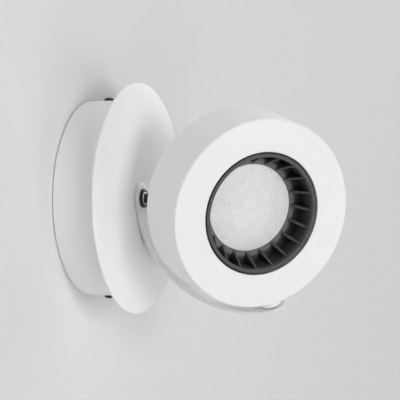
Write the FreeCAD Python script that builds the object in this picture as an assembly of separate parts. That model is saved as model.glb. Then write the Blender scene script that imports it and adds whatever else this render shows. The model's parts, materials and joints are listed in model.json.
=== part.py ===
"""Pivoting spotlight wall light, in millimetres.

Row frame: the wall is the plane Y = 0, the light stands out from it towards -Y, and +Z is up.
The origin is the centre of the rose, on the wall.

Three sub-assemblies are each drawn in a frame of their own and then placed:
  rose  z = distance out from the wall, y = up, x = right
  arm   as the rose, with the arm hanging towards -y, before it swivels
  head  z = the way the light shines, tilt pivot towards -y, origin on the tilt axis
"""
import math
import os

import FreeCAD
import Part

Vector = FreeCAD.Vector
Placement = FreeCAD.Placement
Rotation = FreeCAD.Rotation

# ---- pose at rest ------------------------------------------------------------------------------
SWIVEL_DEG = 22.9            # arm, turned about the wall normal from hanging straight down
TILT_DEG = 43.5              # head, turned about the tilt axis from facing along the arm's end

# ---- common clearances -------------------------------------------------------------------------
THREAD_GAP = 0.05            # radial gap drawn between a thread and its tapped hole
PASS_GAP = 0.2               # radial gap of a screw through a plain hole
TURN_GAP = 0.05              # radial gap of a shaft that turns in its hole
FACE_GAP = 0.05              # axial gap between faces that slide on each other
SHADOW_GAP = 0.6             # open line round an inset piece
SCREW_END_GAP = 0.2          # a screw's tip, short of the far side of what it is tapped into
CUT_OVER = 1.0               # how far a cut runs past the face that it opens

# ---- screw heads and nuts, as shares of the head or nut that they belong to --------------------
HEAD_SHOULDER = 0.45         # height of the straight side
DOME_RISE = 0.85             # height where the dome turns over
DOME_R = 0.82                # radius there
CROWN_R = 0.55               # radius of the flat top
NUT_CROWN = 0.98             # circle of a nut's chamfer, to its flats
SCREW_TIP = 0.5              # chamfer at a screw's end, in mm

# ---- rose --------------------------------------------------------------------------------------
ROSE_D = 118.0
ROSE_DEPTH = 29.0
ROSE_WALL = 1.5
ROSE_EDGE_R = 1.0
DISC_D = 139.0
DISC_T = 1.5
DISC_EDGE_R = 0.55

# ---- wall bracket ------------------------------------------------------------------------------
BAR_W = 30.0
BAR_T = 1.5
EAR_W = 16.0
EAR_H = 17.0
EAR_BEND_R = 2.0
EAR_SHOULDER = 1.0           # the bar narrows this far before the ear's bend
SLOT_W = 5.0
SLOT_LENGTH = 12.0
SLOT_SPACING = 80.0
ENTRY_UP = 21.0              # house cable entry, above the centre
ENTRY_BORE_D = 9.0
ENTRY_NECK_T = 2.5           # rubber wall of the grommet in its hole
GROMMET_FLANGE = 1.5         # how far the flange reaches past the hole
GROMMET_FLANGE_T = 2.0
GROMMET_NOSE = 2.0
GROMMET_NOSE_T = 1.5
GROMMET_OFF_WALL = 0.2       # back of the rubber, in front of the wall
GROMMET_EDGE = 0.6           # chamfer of the flange
GROMMET_TIP = 0.4            # chamfer of the nose

# ---- side screws that hold the cup on the bracket ----------------------------------------------
SIDE_SCREW_OUT = 10.5        # height above the wall
SIDE_SCREW_D = 3.0
SIDE_HEAD_D = 6.0
SIDE_HEAD_H = 2.0
SIDE_SCREW_LENGTH = 8.0
SIDE_SOCKET_D = 2.0
SIDE_SOCKET_DEPTH = 1.1

# ---- small screws ------------------------------------------------------------------------------
M3_D = 3.0
M3_HEAD_D = 5.6
M3_HEAD_H = 2.0
M3_RECESS_D = 2.0
M3_RECESS_DEPTH = 0.9
EARTH_D = 4.0
EARTH_HEAD_D = 7.5
EARTH_HEAD_H = 2.4
EARTH_WASHER_D = 9.0
EARTH_WASHER_T = 0.8
EARTH_X = -9.5

# ---- terminal block on the bracket -------------------------------------------------------------
BLOCK_LENGTH = 28.0
BLOCK_WIDTH = 18.0
BLOCK_HEIGHT = 13.0
BLOCK_UP = -22.0
BLOCK_POLES = 3
BLOCK_PITCH = 8.5
BLOCK_PORT_D = 4.2
BLOCK_WELL_D = 4.0
BLOCK_WELL_OUT = 5.7         # screw wells, off the block's middle line
BLOCK_PORT_OUT = 4.5         # port axis above the block's foot
CONTACT_WALL = 0.6
BLOCK_WEB = 0.5              # plastic left between a contact and the well floor
BLOCK_GROOVE_W = 1.0         # grooves between the poles
BLOCK_GROOVE_DEPTH = 1.5
CONTACT_INSET = 2.0          # a contact's end, inside the block's face
CORE_IN_CONTACT = 2.5        # a core's end, inside the block's face

# ---- driver on the inside of the cup's front ---------------------------------------------------
DRIVER_LENGTH = 58.0
DRIVER_WIDTH = 27.0
DRIVER_HEIGHT = 16.0
DRIVER_CORNER_R = 2.0
DRIVER_X = 32.0
LUG_LENGTH = 6.5
LUG_WIDTH = 10.0
LUG_T = 2.2
DRIVER_PORT_DOWN = 9.9       # wire ports, below the case's top
DRIVER_PORT_DEPTH = 2.0

# ---- hollow swivel pivot -----------------------------------------------------------------------
NIPPLE_D = 8.0
NIPPLE_BORE_D = 6.3
NIPPLE_STANDS_OUT = 0.3      # past the front nut
NIPPLE_CHAMFER = 0.3
PIVOT_NUT_AF = 11.0
PIVOT_NUT_T = 1.2
PIVOT_WASHER_D = 11.4
PIVOT_WASHER_T = 0.4
BACK_NUT_AF = 12.0
BACK_NUT_T = 3.0
BACK_SPRING_D = 13.0
BACK_SPRING_T = 0.7
STOP_WASHER_D = 15.0
STOP_WASHER_T = 1.2
STOP_TAB_W = 2.5
STOP_TAB_REACH = 12.6
STOP_PIN_D = 3.0
STOP_PIN_CENTRE = 10.6
STOP_PIN_PAST = 0.4          # pin's end, behind the stop washer
RELIEF_D = 13.0
RELIEF_GRIP = 4.0            # length that grips the lead
RELIEF_SOCKET = 4.5          # length that screws on the pivot tube
RELIEF_SCREW_D = 3.0
RELIEF_SCREW_LENGTH = 3.4
RELIEF_SLOT_W = 0.6
RELIEF_SLOT_DEPTH = 0.8
RELIEF_EDGE = 0.8            # chamfer of the clamp's inner end
RELIEF_RIM = 0.5             # chamfer of the clamp's outer end
NIPPLE_BORE_EDGE = 0.2       # chamfer of the tube's mouth

# ---- arm ---------------------------------------------------------------------------------------
ARM_W = 18.0
ARM_T = 2.0
ARM_BEND_R = 64.0            # outside of the bend
ARM_BEND_DEG = 95.0
ARM_FOOT = 8.4               # flat, from swivel axis to the bend
ARM_TOE = 4.8                # flat, from the bend to the tilt axis
ARM_EDGE_R = 0.3

# ---- head shell --------------------------------------------------------------------------------
HEAD_D = 114.0
HEAD_FRONT = 18.4            # tilt axis to the face
HEAD_BACK = 19.7             # tilt axis to the rear edge
HEAD_WALL = 1.6
FACE_T = 2.4
FACE_EDGE_R = 1.2
REAR_EDGE_R = 0.6
POST_D = 8.0
POST_CENTRE = 48.0
POSTS = 3
COVER_T = 1.5
COVER_INSET = 0.6
PAD_W = 15.0                 # flat pad inside the shell for the tilt nut
PAD_T = 2.2
PAD_SINK = 0.2               # the pad's back, inside the drum's outer face
POST_WEB_T = 2.0             # rib between a post and the drum
POST_HOLE_DEPTH = 8.0
REAR_SCREW_LENGTH = 8.0
REAR_HEAD_H = 1.6
COVER_GAP = 0.3              # rear cover to the drum's inside
COVER_EDGE = 0.3
WINDOW_EDGE_R = 0.4          # rounding of the face's round opening
WEB_BITE = 0.5               # how far a rib reaches into the wall

# ---- bezel with fins ---------------------------------------------------------------------------
BEZEL_D = 73.1
BEZEL_SET_BACK = 0.3
LIP_W = 2.6                  # flat width of the lip
LIP_ID = BEZEL_D - 2 * LIP_W
FLOOR_W = 7.45               # finned floor, from the lip to the lens
LENS_D = LIP_ID - 2 * FLOOR_W
SKIRT_WALL = 2.9
BEZEL_FLANGE = 5.5
BEZEL_FLANGE_T = 1.6
LENS_DEPTH = 16.1            # face to lens
LENS_T = 2.0
LENS_STANDS_OUT = 0.3
LENS_FLANGE = 3.2
LENS_FLANGE_T = 0.9
LENS_GAP = 0.15
FLOOR_T = 1.5
FIN_COUNT = 20
FIN_T = 1.5
FIN_TOE = 0.8                # fin's lowest edge above the floor
FIN_BELOW_LIP = 0.8
BEZEL_SCREWS = 3
BEZEL_SCREW_IN = 0.5         # screw circle, inside the flange's rim
BEZEL_SCREW_HOLE = 1.6       # depth of its hole in the face
BEZEL_SCREW_BITE = 1.4       # how far it goes into the face
BEZEL_EDGE = 0.4             # chamfer of the lip
FIN_TOE_GAP = 0.5            # fin's inner end, outside the lens hole
FIN_ROOT = 0.3               # fin's outer end, inside the skirt's wall
FIN_SINK = 0.2               # fin's foot, inside the floor
FIN_TOP_RUN = 1.2            # level stretch of the fin's top
LENS_EDGE = 0.4
LENS_RIM = 1.5               # wall of the lens's rear rim

# ---- light source behind the lens --------------------------------------------------------------
CHAMBER_H = 7.0
CHAMBER_WALL = 1.4
CHAMBER_STEP = 0.5           # its throat, inside the lens's edge
CHAMBER_THROAT_D = LENS_D - 2 * CHAMBER_STEP
CHAMBER_LIP = 1.0            # thickness of its two edges
BOARD_T = 1.6
PAD_SHEET_T = 0.4
BOARD_GAP = 0.4
CHIP_W = 3.0
CHIP_H = 0.8
CHIP_RINGS = ((5.5, 10), (13.5, 6))      # how far each ring lies inside the screw circle, and its chips
BOARD_SCREWS = 3
BOARD_SCREW_IN = 3.5         # screw circle, inside the chamber's throat
BOARD_SCREW_D = 2.5
BOARD_HEAD_D = 4.6
BOARD_HEAD_H = 1.4
BOARD_SCREW_LENGTH = 4.6
BOARD_RECESS_D = 1.6
BOARD_RECESS_DEPTH = 0.7
CONNECTOR_W = 8.0
CONNECTOR_L = 6.0
CONNECTOR_H = 3.6
CONNECTOR_BITE = 2.0         # how far a core goes into the connector
SINK_BASE_T = 3.0
SINK_FIN_T = 1.6
SINK_FIN_PITCH = 6.0
SINK_FINS = 11
SINK_CLEAR = 1.0             # fin tips to the rear cover
SINK_HOLE_D = 9.0
SINK_SCREWS = 3
SINK_SCREW_D = 2.0
SINK_HEAD_D = 3.4
SINK_HEAD_H = 1.3
SINK_SCREW_DEPTH = 6.0
SINK_RECESS_D = 1.2
SINK_RECESS_DEPTH = 0.5
COMB_INSET = 1.2             # fins' outline, inside the skirt's

# ---- tilt pivot --------------------------------------------------------------------------------
SPACER_D = 13.1
SPACER_H = 7.7
SPACER_EDGE_R = 0.4
TILT_WASHER_D = 12.0
TILT_WASHER_T = 0.5
TILT_SPRING_D = 9.5
TILT_SPRING_T = 0.6
TILT_SCREW_D = 5.0
TILT_HEAD_D = 9.0
TILT_HEAD_H = 1.8
TILT_SOCKET_D = 3.0
TILT_SOCKET_DEPTH = 1.1
TILT_NUT_AF = 8.0
TILT_NUT_T = 4.0
TILT_SCREW_PAST = 1.0        # past the nut

# ---- leads -------------------------------------------------------------------------------------
LEAD_D = 5.8
LEAD_BEND_R = 16.0
CORE_D = 1.9
CORE_APART = 2.8
CORE_BEND_R = 3.2
CORE_WALL_CLEAR = 1.75       # open space between a core and the bracket's bar
CORE_LOOP = 9.5              # how far a core's loop stands off the driver's end
CORE_SAG = 1.0               # how far a supply lead's middle hangs below its ends
CORE_SIDE = 8.0              # a lead core comes to the driver's side this far before its port
CORE_LIFT = 1.5              # a lead core's rise from the bar to its loop
CORE_LOOP_LEAN = 0.5         # a lead core's loop leans out this much as it rises
SHEATH_PAST_RELIEF = 0.5     # sheath showing past the strain relief
LEAD_LEAVES = 10.4           # straight run of the lead out of the pivot tube, to its corner
LEAD_ENTERS = 17.28          # straight run of the lead into the gland, from its corner
GLAND_D = 13.0
GLAND_NECK_D = 9.0
GLAND_FLANGE_T = 2.5
GLAND_TAIL_D = 9.4
GLAND_TAIL_H = 3.2
GLAND_INSIDE_D = 11.0
GLAND_INSIDE_T = 1.6
GLAND_GAP = 0.1
GLAND_EDGE = 0.5             # chamfer of the gland's flange
GLAND_TAIL_EDGE = 0.7        # chamfer of its tail and of its inside collar

# ---- sizes that follow -------------------------------------------------------------------------
ROSE_R = ROSE_D / 2
ROSE_INSIDE_R = ROSE_R - ROSE_WALL
ROSE_FLOOR = ROSE_DEPTH - ROSE_WALL                  # inside face of the cup's front
DISC_FRONT = ROSE_DEPTH + DISC_T
EAR_OUT = math.sqrt(ROSE_INSIDE_R ** 2 - (EAR_W / 2) ** 2) - PASS_GAP
TAB_FRONT = DISC_FRONT + ARM_T
NUT_SEAT = TAB_FRONT + PIVOT_WASHER_T
NIPPLE_FRONT = NUT_SEAT + PIVOT_NUT_T + NIPPLE_STANDS_OUT
STOP_BACK = ROSE_FLOOR - FACE_GAP - STOP_WASHER_T
SPRING_BACK = STOP_BACK - BACK_SPRING_T
BACK_NUT_BACK = SPRING_BACK - BACK_NUT_T
RELIEF_FRONT = BACK_NUT_BACK - FACE_GAP
NIPPLE_BACK = RELIEF_FRONT - RELIEF_SOCKET
RELIEF_BACK = NIPPLE_BACK - RELIEF_GRIP
LEAD_R = LEAD_D / 2

HEAD_R = HEAD_D / 2
HEAD_INSIDE_R = HEAD_R - HEAD_WALL
FACE_BACK = HEAD_FRONT - FACE_T
COVER_BACK = -HEAD_BACK + COVER_INSET
COVER_FRONT = COVER_BACK + COVER_T
BEZEL_R = BEZEL_D / 2
LIP_R = LIP_ID / 2
LIP_TOP = HEAD_FRONT - BEZEL_SET_BACK
LENS_FRONT = HEAD_FRONT - LENS_DEPTH
BEZEL_FLOOR = LENS_FRONT - LENS_STANDS_OUT
FLOOR_BACK = BEZEL_FLOOR - FLOOR_T
LENS_BACK = LENS_FRONT - LENS_T
LENS_R = LENS_D / 2
SKIRT_R = BEZEL_R - SKIRT_WALL
THROAT_R = CHAMBER_THROAT_D / 2
BOARD_SCREW_CENTRE = THROAT_R - BOARD_SCREW_IN
LENS_SEAT_BACK = FLOOR_BACK - LENS_FLANGE_T
CHAMBER_BACK = LENS_SEAT_BACK - CHAMBER_H
BOARD_BACK = CHAMBER_BACK - BOARD_T
SINK_FACE = BOARD_BACK - PAD_SHEET_T
SINK_BACK = SINK_FACE - SINK_BASE_T
BOARD_R = SKIRT_R - BOARD_GAP
TILT_TAB_IN = HEAD_R + SPACER_H + TILT_WASHER_T       # tilt axis: head centre to the arm's inner face
TILT_TAB_OUT = TILT_TAB_IN + ARM_T
GLAND_BACK = COVER_BACK - GLAND_FLANGE_T - GLAND_TAIL_H

# ---- places of the three frames ----------------------------------------------------------------
X_AXIS = Vector(1, 0, 0)
Y_AXIS = Vector(0, 1, 0)
Z_AXIS = Vector(0, 0, 1)
ORIGIN = Vector(0, 0, 0)
BEND_CENTRE = Vector(0, -ARM_FOOT, DISC_FRONT + ARM_BEND_R)


def bend_point(radius, degrees):
    """A point of the arm's bend, in the arm's frame, seen from the bend's centre."""
    angle = math.radians(degrees)
    return BEND_CENTRE + Vector(0, -radius * math.sin(angle), -radius * math.cos(angle))


def bend_tangent(degrees):
    """The way the strip runs at that angle of the bend."""
    angle = math.radians(degrees)
    return Vector(0, -math.cos(angle), math.sin(angle))


TOE_CENTRE = bend_point(ARM_BEND_R, ARM_BEND_DEG) + bend_tangent(ARM_BEND_DEG) * ARM_TOE
TILT_OUTWARD = (bend_point(1.0, ARM_BEND_DEG) - BEND_CENTRE).normalize()
HEAD_CENTRE = TOE_CENTRE - TILT_OUTWARD * TILT_TAB_OUT

ROSE_PLACE = Placement(ORIGIN, Rotation(X_AXIS, 90))
ARM_PLACE = ROSE_PLACE.multiply(Placement(ORIGIN, Rotation(Z_AXIS, SWIVEL_DEG)))
LEVEL_HEAD = Placement(HEAD_CENTRE, Rotation(X_AXIS, 90 - ARM_BEND_DEG))
HEAD_IN_ARM = LEVEL_HEAD.multiply(Placement(ORIGIN, Rotation(Y_AXIS, -TILT_DEG)))
HEAD_PLACE = ARM_PLACE.multiply(HEAD_IN_ARM)


# ---- shapes used by many pieces ----------------------------------------------------------------
def rod(radius, low, high, x=0.0, y=0.0):
    """A round bar along z."""
    return Part.makeCylinder(radius, high - low, Vector(x, y, low))


def drill(diameter, gap, low, high, x=0.0, y=0.0):
    """A round cut along z, wider all round by the gap, that runs past both faces."""
    return rod(diameter / 2 + gap, low - CUT_OVER, high + CUT_OVER, x, y)


def blind(diameter, mouth, depth, y, x=0.0):
    """A tapped hole along z that starts at its mouth and goes that deep."""
    return rod(diameter / 2 + THREAD_GAP, mouth - CUT_OVER, mouth + depth, x, y)


def washer(diameter, hole_d, gap, low, high, x=0.0, y=0.0):
    """A flat washer, its hole wider all round by the gap."""
    return rod(diameter / 2, low, high, x, y).cut(drill(hole_d, gap, low, high, x, y))


def block(width, length, low, high, x=0.0, y=0.0):
    """A box, centred on x and y, from low to high."""
    return Part.makeBox(width, length, high - low, Vector(x - width / 2, y - length / 2, low))


def turned(outline):
    """A solid of revolution about z, from (radius, z) points."""
    points = [Vector(r, 0, z) for r, z in outline]
    face = Part.Face(Part.makePolygon(points + points[:1]))
    return face.revolve(ORIGIN, Z_AXIS, 360)


def hexagon(across_flats, low, high):
    """A hexagon bar along z with its corners chamfered by a cone at each end."""
    corner = across_flats / math.sqrt(3)
    points = [Vector(corner * math.cos(math.radians(60 * i)), corner * math.sin(math.radians(60 * i)), low)
              for i in range(7)]
    bar = Part.Face(Part.makePolygon(points)).extrude(Vector(0, 0, high - low))
    flat_r = across_flats / 2 * NUT_CROWN
    drop = corner - flat_r
    crown = turned([(0, low), (flat_r, low), (flat_r + drop, low + drop / 2), (flat_r + drop, high - drop / 2),
                    (flat_r, high), (0, high)])
    return bar.common(crown)


def around(shape, count, start_deg=0.0):
    """Copies of a shape, spaced evenly about z."""
    copies = []
    for i in range(count):
        copy = shape.copy()
        copy.rotate(ORIGIN, Z_AXIS, start_deg + 360.0 / count * i)
        copies.append(copy)
    return copies


def cut_all(shape, tools):
    """The shape less each tool."""
    for tool in tools:
        shape = shape.cut(tool)
    return shape


def circle_edges(shape, radius, height):
    """The full-circle edges of that radius at that height along z."""
    found = []
    for edge in shape.Edges:
        curve = edge.Curve
        if isinstance(curve, Part.Circle) and abs(curve.Radius - radius) < 0.01:
            if abs(curve.Center.z - height) < 0.01 and math.hypot(curve.Center.x, curve.Center.y) < 0.01:
                found.append(edge)
    return found


def pan_screw(shank_r, head_r, head_h, length, recess_r, recess_depth):
    """A screw with its head's underside at z = 0, head upwards and shank downwards."""
    head = turned([(0, 0), (head_r, 0), (head_r, head_h * HEAD_SHOULDER), (head_r * DOME_R, head_h * DOME_RISE),
                   (head_r * CROWN_R, head_h), (0, head_h)])
    tip = min(SCREW_TIP, shank_r / 2)
    shank = turned([(0, -length), (shank_r - tip, -length), (shank_r, -length + tip), (shank_r, 0), (0, 0)])
    recess = hexagon(recess_r * 2, head_h - recess_depth, head_h + CUT_OVER)
    return head.fuse(shank).removeSplitter().cut(recess)


def moved(shape, offset, axis=Z_AXIS, degrees=0.0):
    """A copy, turned about an axis through the origin and then shifted."""
    copy = shape.copy()
    copy.rotate(ORIGIN, axis, degrees)
    copy.translate(offset)
    return copy


def bent_tube(name, radius, corners, bend_r):
    """A tube along straight runs joined by tangent arcs of one bend radius."""
    edges = []
    here = corners[0]
    length = 0.0
    for before, corner, after in zip(corners, corners[1:], corners[2:]):
        inward = (corner - before).normalize()
        outward = (after - corner).normalize()
        half_turn = inward.getAngle(outward) / 2
        reach = bend_r * math.tan(half_turn)
        start = corner - inward * reach
        end = corner + outward * reach
        bisector = (outward - inward).normalize()
        middle = corner + bisector * (bend_r / math.cos(half_turn) - bend_r)
        edges.append(Part.makeLine(here, start))
        edges.append(Part.Arc(start, middle, end).toShape())
        length += (start - here).Length + 2 * half_turn * bend_r
        here = end
    edges.append(Part.makeLine(here, corners[-1]))
    length += (corners[-1] - here).Length
    path = Part.Wire(edges)
    start_way = corners[1] - corners[0]
    section = Part.Wire(Part.makeCircle(radius, corners[0], start_way))
    tube = path.makePipeShell([section], True, False)
    expected = math.pi * radius ** 2 * length
    share = tube.Volume / expected
    print(f"{name}: length {length:.1f}, bend radius {bend_r:.1f}, volume {share:.4f} of expected")
    return tube


# ---- rose: pieces that stay on the wall --------------------------------------------------------
def side_screw_hole(radius, reach):
    """A pair of holes along y, at the side screws' height."""
    hole = Part.makeCylinder(radius, 2 * reach, Vector(0, -reach, SIDE_SCREW_OUT), Y_AXIS)
    return hole


def make_rose_housing():
    """The cup: side wall, front wall, holes for pivot, stop pin, driver screws and side screws."""
    outer = rod(ROSE_R, 0, ROSE_DEPTH)
    outer = outer.makeFillet(ROSE_EDGE_R, circle_edges(outer, ROSE_R, ROSE_DEPTH))
    cup = outer.cut(rod(ROSE_INSIDE_R, -CUT_OVER, ROSE_FLOOR))
    cup = cup.cut(drill(NIPPLE_D, TURN_GAP, ROSE_FLOOR, ROSE_DEPTH))
    cup = cup.cut(drill(STOP_PIN_D, 0, ROSE_FLOOR, ROSE_DEPTH, 0, STOP_PIN_CENTRE))
    cup = cut_all(cup, [drill(M3_D, THREAD_GAP, ROSE_FLOOR, ROSE_DEPTH, DRIVER_X, y)
                        for y in driver_screw_places()])
    return cup.cut(side_screw_hole(SIDE_SCREW_D / 2 + PASS_GAP, ROSE_D))


def make_front_disc():
    """The thin disc in front of the cup, rounded at its rim."""
    disc = rod(DISC_D / 2, ROSE_DEPTH, DISC_FRONT)
    rims = circle_edges(disc, DISC_D / 2, ROSE_DEPTH) + circle_edges(disc, DISC_D / 2, DISC_FRONT)
    disc = disc.makeFillet(DISC_EDGE_R, rims)
    return disc.cut(drill(NIPPLE_D, TURN_GAP, ROSE_DEPTH, DISC_FRONT))


def bracket_slot(y):
    """A slot through the bar, long way along y."""
    straight = SLOT_LENGTH / 2 - SLOT_W / 2
    slot = block(SLOT_W, 2 * straight, -CUT_OVER, BAR_T + CUT_OVER, 0, y)
    slot = slot.fuse(rod(SLOT_W / 2, -CUT_OVER, BAR_T + CUT_OVER, 0, y - straight))
    return slot.fuse(rod(SLOT_W / 2, -CUT_OVER, BAR_T + CUT_OVER, 0, y + straight))


def bracket_side_profile():
    """The bar with its two ears, as a closed wire in the plane x = 0."""
    inner = EAR_OUT - BAR_T
    outer_r = EAR_BEND_R + BAR_T
    diagonal = math.cos(math.radians(45))
    centre_y = EAR_OUT - outer_r
    centre_z = outer_r
    edges = []
    for side in (1, -1):
        def flip(y, z):
            return Vector(0, side * y, z)

        edges.append(Part.makeLine(flip(0, 0), flip(centre_y, 0)))
        edges.append(Part.Arc(flip(centre_y, 0),
                              flip(centre_y + outer_r * diagonal, centre_z - outer_r * diagonal),
                              flip(EAR_OUT, centre_z)).toShape())
        edges.append(Part.makeLine(flip(EAR_OUT, centre_z), flip(EAR_OUT, EAR_H)))
        edges.append(Part.makeLine(flip(EAR_OUT, EAR_H), flip(inner, EAR_H)))
        edges.append(Part.makeLine(flip(inner, EAR_H), flip(inner, centre_z)))
        edges.append(Part.Arc(flip(inner, centre_z),
                              flip(centre_y + EAR_BEND_R * diagonal, centre_z - EAR_BEND_R * diagonal),
                              flip(centre_y, BAR_T)).toShape())
        edges.append(Part.makeLine(flip(centre_y, BAR_T), flip(0, BAR_T)))
    return Part.Wire(Part.__sortEdges__(edges))


def make_wall_bracket():
    """The pressed steel bar on the wall, with ears for the side screws."""
    profile = Part.Face(bracket_side_profile())
    bar = profile.extrude(Vector(BAR_W, 0, 0))
    bar.translate(Vector(-BAR_W / 2, 0, 0))
    narrow_from = EAR_OUT - EAR_BEND_R - BAR_T - EAR_SHOULDER
    narrow_to = EAR_OUT + CUT_OVER
    for side in (1, -1):
        for x in (1, -1):
            waste = block((BAR_W - EAR_W) / 2, narrow_to - narrow_from, -CUT_OVER, EAR_H + CUT_OVER,
                          x * (BAR_W + EAR_W) / 4, side * (narrow_from + narrow_to) / 2)
            bar = bar.cut(waste)
    bar = cut_all(bar, [bracket_slot(y) for y in (SLOT_SPACING / 2, -SLOT_SPACING / 2)])
    bar = bar.cut(drill(ENTRY_BORE_D, ENTRY_NECK_T, 0, BAR_T, 0, ENTRY_UP))
    bar = bar.cut(drill(EARTH_D, THREAD_GAP, 0, BAR_T, EARTH_X, 0))
    bar = bar.cut(drill(M3_D, THREAD_GAP, 0, BAR_T, 0, BLOCK_UP))
    return bar.cut(side_screw_hole(SIDE_SCREW_D / 2 + THREAD_GAP, ROSE_D))


def make_side_screws():
    """The two black screws through the cup's side wall into the bracket's ears."""
    screw = pan_screw(SIDE_SCREW_D / 2, SIDE_HEAD_D / 2, SIDE_HEAD_H, SIDE_SCREW_LENGTH,
                      SIDE_SOCKET_D / 2, SIDE_SOCKET_DEPTH)
    top = moved(screw, Vector(0, ROSE_R, SIDE_SCREW_OUT), X_AXIS, -90)
    low = moved(screw, Vector(0, -ROSE_R, SIDE_SCREW_OUT), X_AXIS, 90)
    return Part.makeCompound([top, low])


def make_cable_grommet():
    """The rubber bush in the bar where the house cable comes in."""
    bore_r = ENTRY_BORE_D / 2
    neck_r = bore_r + ENTRY_NECK_T
    flange_r = neck_r + GROMMET_FLANGE
    nose_r = bore_r + GROMMET_NOSE_T
    flange_top = BAR_T + GROMMET_FLANGE_T
    bush = turned([(bore_r, GROMMET_OFF_WALL), (neck_r, GROMMET_OFF_WALL), (neck_r, BAR_T), (flange_r, BAR_T),
                   (flange_r, flange_top - GROMMET_EDGE), (flange_r - GROMMET_EDGE, flange_top),
                   (nose_r, flange_top), (nose_r - GROMMET_TIP, flange_top + GROMMET_NOSE),
                   (bore_r, flange_top + GROMMET_NOSE)])
    return moved(bush, Vector(0, ENTRY_UP, 0))


def make_earth_washer():
    """The washer under the earth screw's head."""
    return washer(EARTH_WASHER_D, EARTH_D, PASS_GAP, BAR_T, BAR_T + EARTH_WASHER_T, EARTH_X, 0)


def make_earth_screw():
    """The earth screw in the bar."""
    length = BAR_T + EARTH_WASHER_T - SCREW_END_GAP
    screw = pan_screw(EARTH_D / 2, EARTH_HEAD_D / 2, EARTH_HEAD_H, length, SIDE_SOCKET_D / 2, SIDE_SOCKET_DEPTH)
    return moved(screw, Vector(EARTH_X, 0, BAR_T + EARTH_WASHER_T))


def pole_places():
    """The x places of the terminal block's poles."""
    first = -BLOCK_PITCH * (BLOCK_POLES - 1) / 2
    return [first + BLOCK_PITCH * i for i in range(BLOCK_POLES)]


def pole_rod(radius, x, inset):
    """A rod along one pole of the terminal block, that far inside the block's two faces."""
    foot = Vector(x, BLOCK_UP - BLOCK_WIDTH / 2 + inset, BAR_T + BLOCK_PORT_OUT)
    return Part.makeCylinder(radius, BLOCK_WIDTH - 2 * inset, foot, Y_AXIS)


def fixing_well():
    """The hole for the screw that holds the terminal block, between two poles' rows of screws."""
    return drill(M3_D, PASS_GAP, BAR_T, BAR_T + BLOCK_HEIGHT, 0, BLOCK_UP)


def make_terminal_block():
    """The plastic block with its wire ports along y and screw wells along z."""
    top = BAR_T + BLOCK_HEIGHT
    body = block(BLOCK_LENGTH, BLOCK_WIDTH, BAR_T, top, 0, BLOCK_UP)
    for x in pole_places():
        body = body.cut(pole_rod(BLOCK_PORT_D / 2, x, -CUT_OVER))
        for side in (1, -1):
            well_y = BLOCK_UP + side * BLOCK_WELL_OUT
            body = body.cut(rod(BLOCK_WELL_D / 2, BAR_T + block_screw_seat(), top + CUT_OVER, x, well_y))
    for x in (BLOCK_PITCH / 2, -BLOCK_PITCH / 2):
        groove = block(BLOCK_GROOVE_W, BLOCK_WIDTH + 2 * CUT_OVER, top - BLOCK_GROOVE_DEPTH, top + CUT_OVER,
                       x, BLOCK_UP)
        body = body.cut(groove)
    counterbore = rod(M3_HEAD_D / 2 + PASS_GAP, BAR_T + block_screw_seat(), top + CUT_OVER, 0, BLOCK_UP)
    return body.cut(counterbore).cut(fixing_well())


def block_screw_seat():
    """How far above its foot the block's fixing screw seats, just over the middle contact."""
    return BLOCK_PORT_OUT + BLOCK_PORT_D / 2 + BLOCK_WEB


def make_terminal_contacts():
    """The brass sleeves in the ports, one per pole, in two halves beside the fixing screw."""
    sleeves = []
    for x in pole_places():
        sleeve = pole_rod(BLOCK_PORT_D / 2, x, CONTACT_INSET)
        sleeve = sleeve.cut(pole_rod(BLOCK_PORT_D / 2 - CONTACT_WALL, x, 0))
        if abs(x) < M3_D:
            sleeve = sleeve.cut(fixing_well())
        sleeves.append(sleeve)
    return Part.makeCompound(sleeves)


def make_terminal_screw():
    """The screw that holds the terminal block on the bar."""
    seat = block_screw_seat()
    screw = pan_screw(M3_D / 2, M3_HEAD_D / 2, M3_HEAD_H, seat + BAR_T - SCREW_END_GAP,
                      M3_RECESS_D / 2, M3_RECESS_DEPTH)
    return moved(screw, Vector(0, BLOCK_UP, BAR_T + seat))


def driver_screw_places():
    """The y places of the driver's two screws."""
    reach = DRIVER_LENGTH / 2 + LUG_LENGTH / 2
    return [reach, -reach]


def make_led_driver():
    """The power supply's case, with a lug at each end, on the inside of the cup's front."""
    low = ROSE_FLOOR - DRIVER_HEIGHT
    case = block(DRIVER_WIDTH, DRIVER_LENGTH, low, ROSE_FLOOR, DRIVER_X, 0)
    upright = [e for e in case.Edges if abs(e.tangentAt(0).z) > 0.9]
    case = case.makeFillet(DRIVER_CORNER_R, upright)
    for y in driver_screw_places():
        lug = block(LUG_WIDTH, LUG_LENGTH + 2 * CUT_OVER, ROSE_FLOOR - LUG_T, ROSE_FLOOR,
                    DRIVER_X, y - math.copysign(CUT_OVER, y))
        case = case.fuse(lug)
    case = cut_all(case, [drill(M3_D, PASS_GAP, ROSE_FLOOR - LUG_T, ROSE_FLOOR, DRIVER_X, y)
                          for y in driver_screw_places()])
    for y in (DRIVER_LENGTH / 2, -DRIVER_LENGTH / 2):
        for x in core_places(DRIVER_X):
            port = Part.makeCylinder(CORE_D / 2 + PASS_GAP, 2 * DRIVER_PORT_DEPTH,
                                     Vector(x, y - DRIVER_PORT_DEPTH, driver_port_height()), Y_AXIS)
            case = case.cut(port)
    return case.removeSplitter()


def make_driver_screws():
    """The two screws through the driver's lugs into the cup's front."""
    length = LUG_T + ROSE_WALL - SCREW_END_GAP
    screw = pan_screw(M3_D / 2, M3_HEAD_D / 2, M3_HEAD_H, length, M3_RECESS_D / 2, M3_RECESS_DEPTH)
    screw.rotate(ORIGIN, X_AXIS, 180)
    return Part.makeCompound([moved(screw, Vector(DRIVER_X, y, ROSE_FLOOR - LUG_T))
                              for y in driver_screw_places()])


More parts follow.
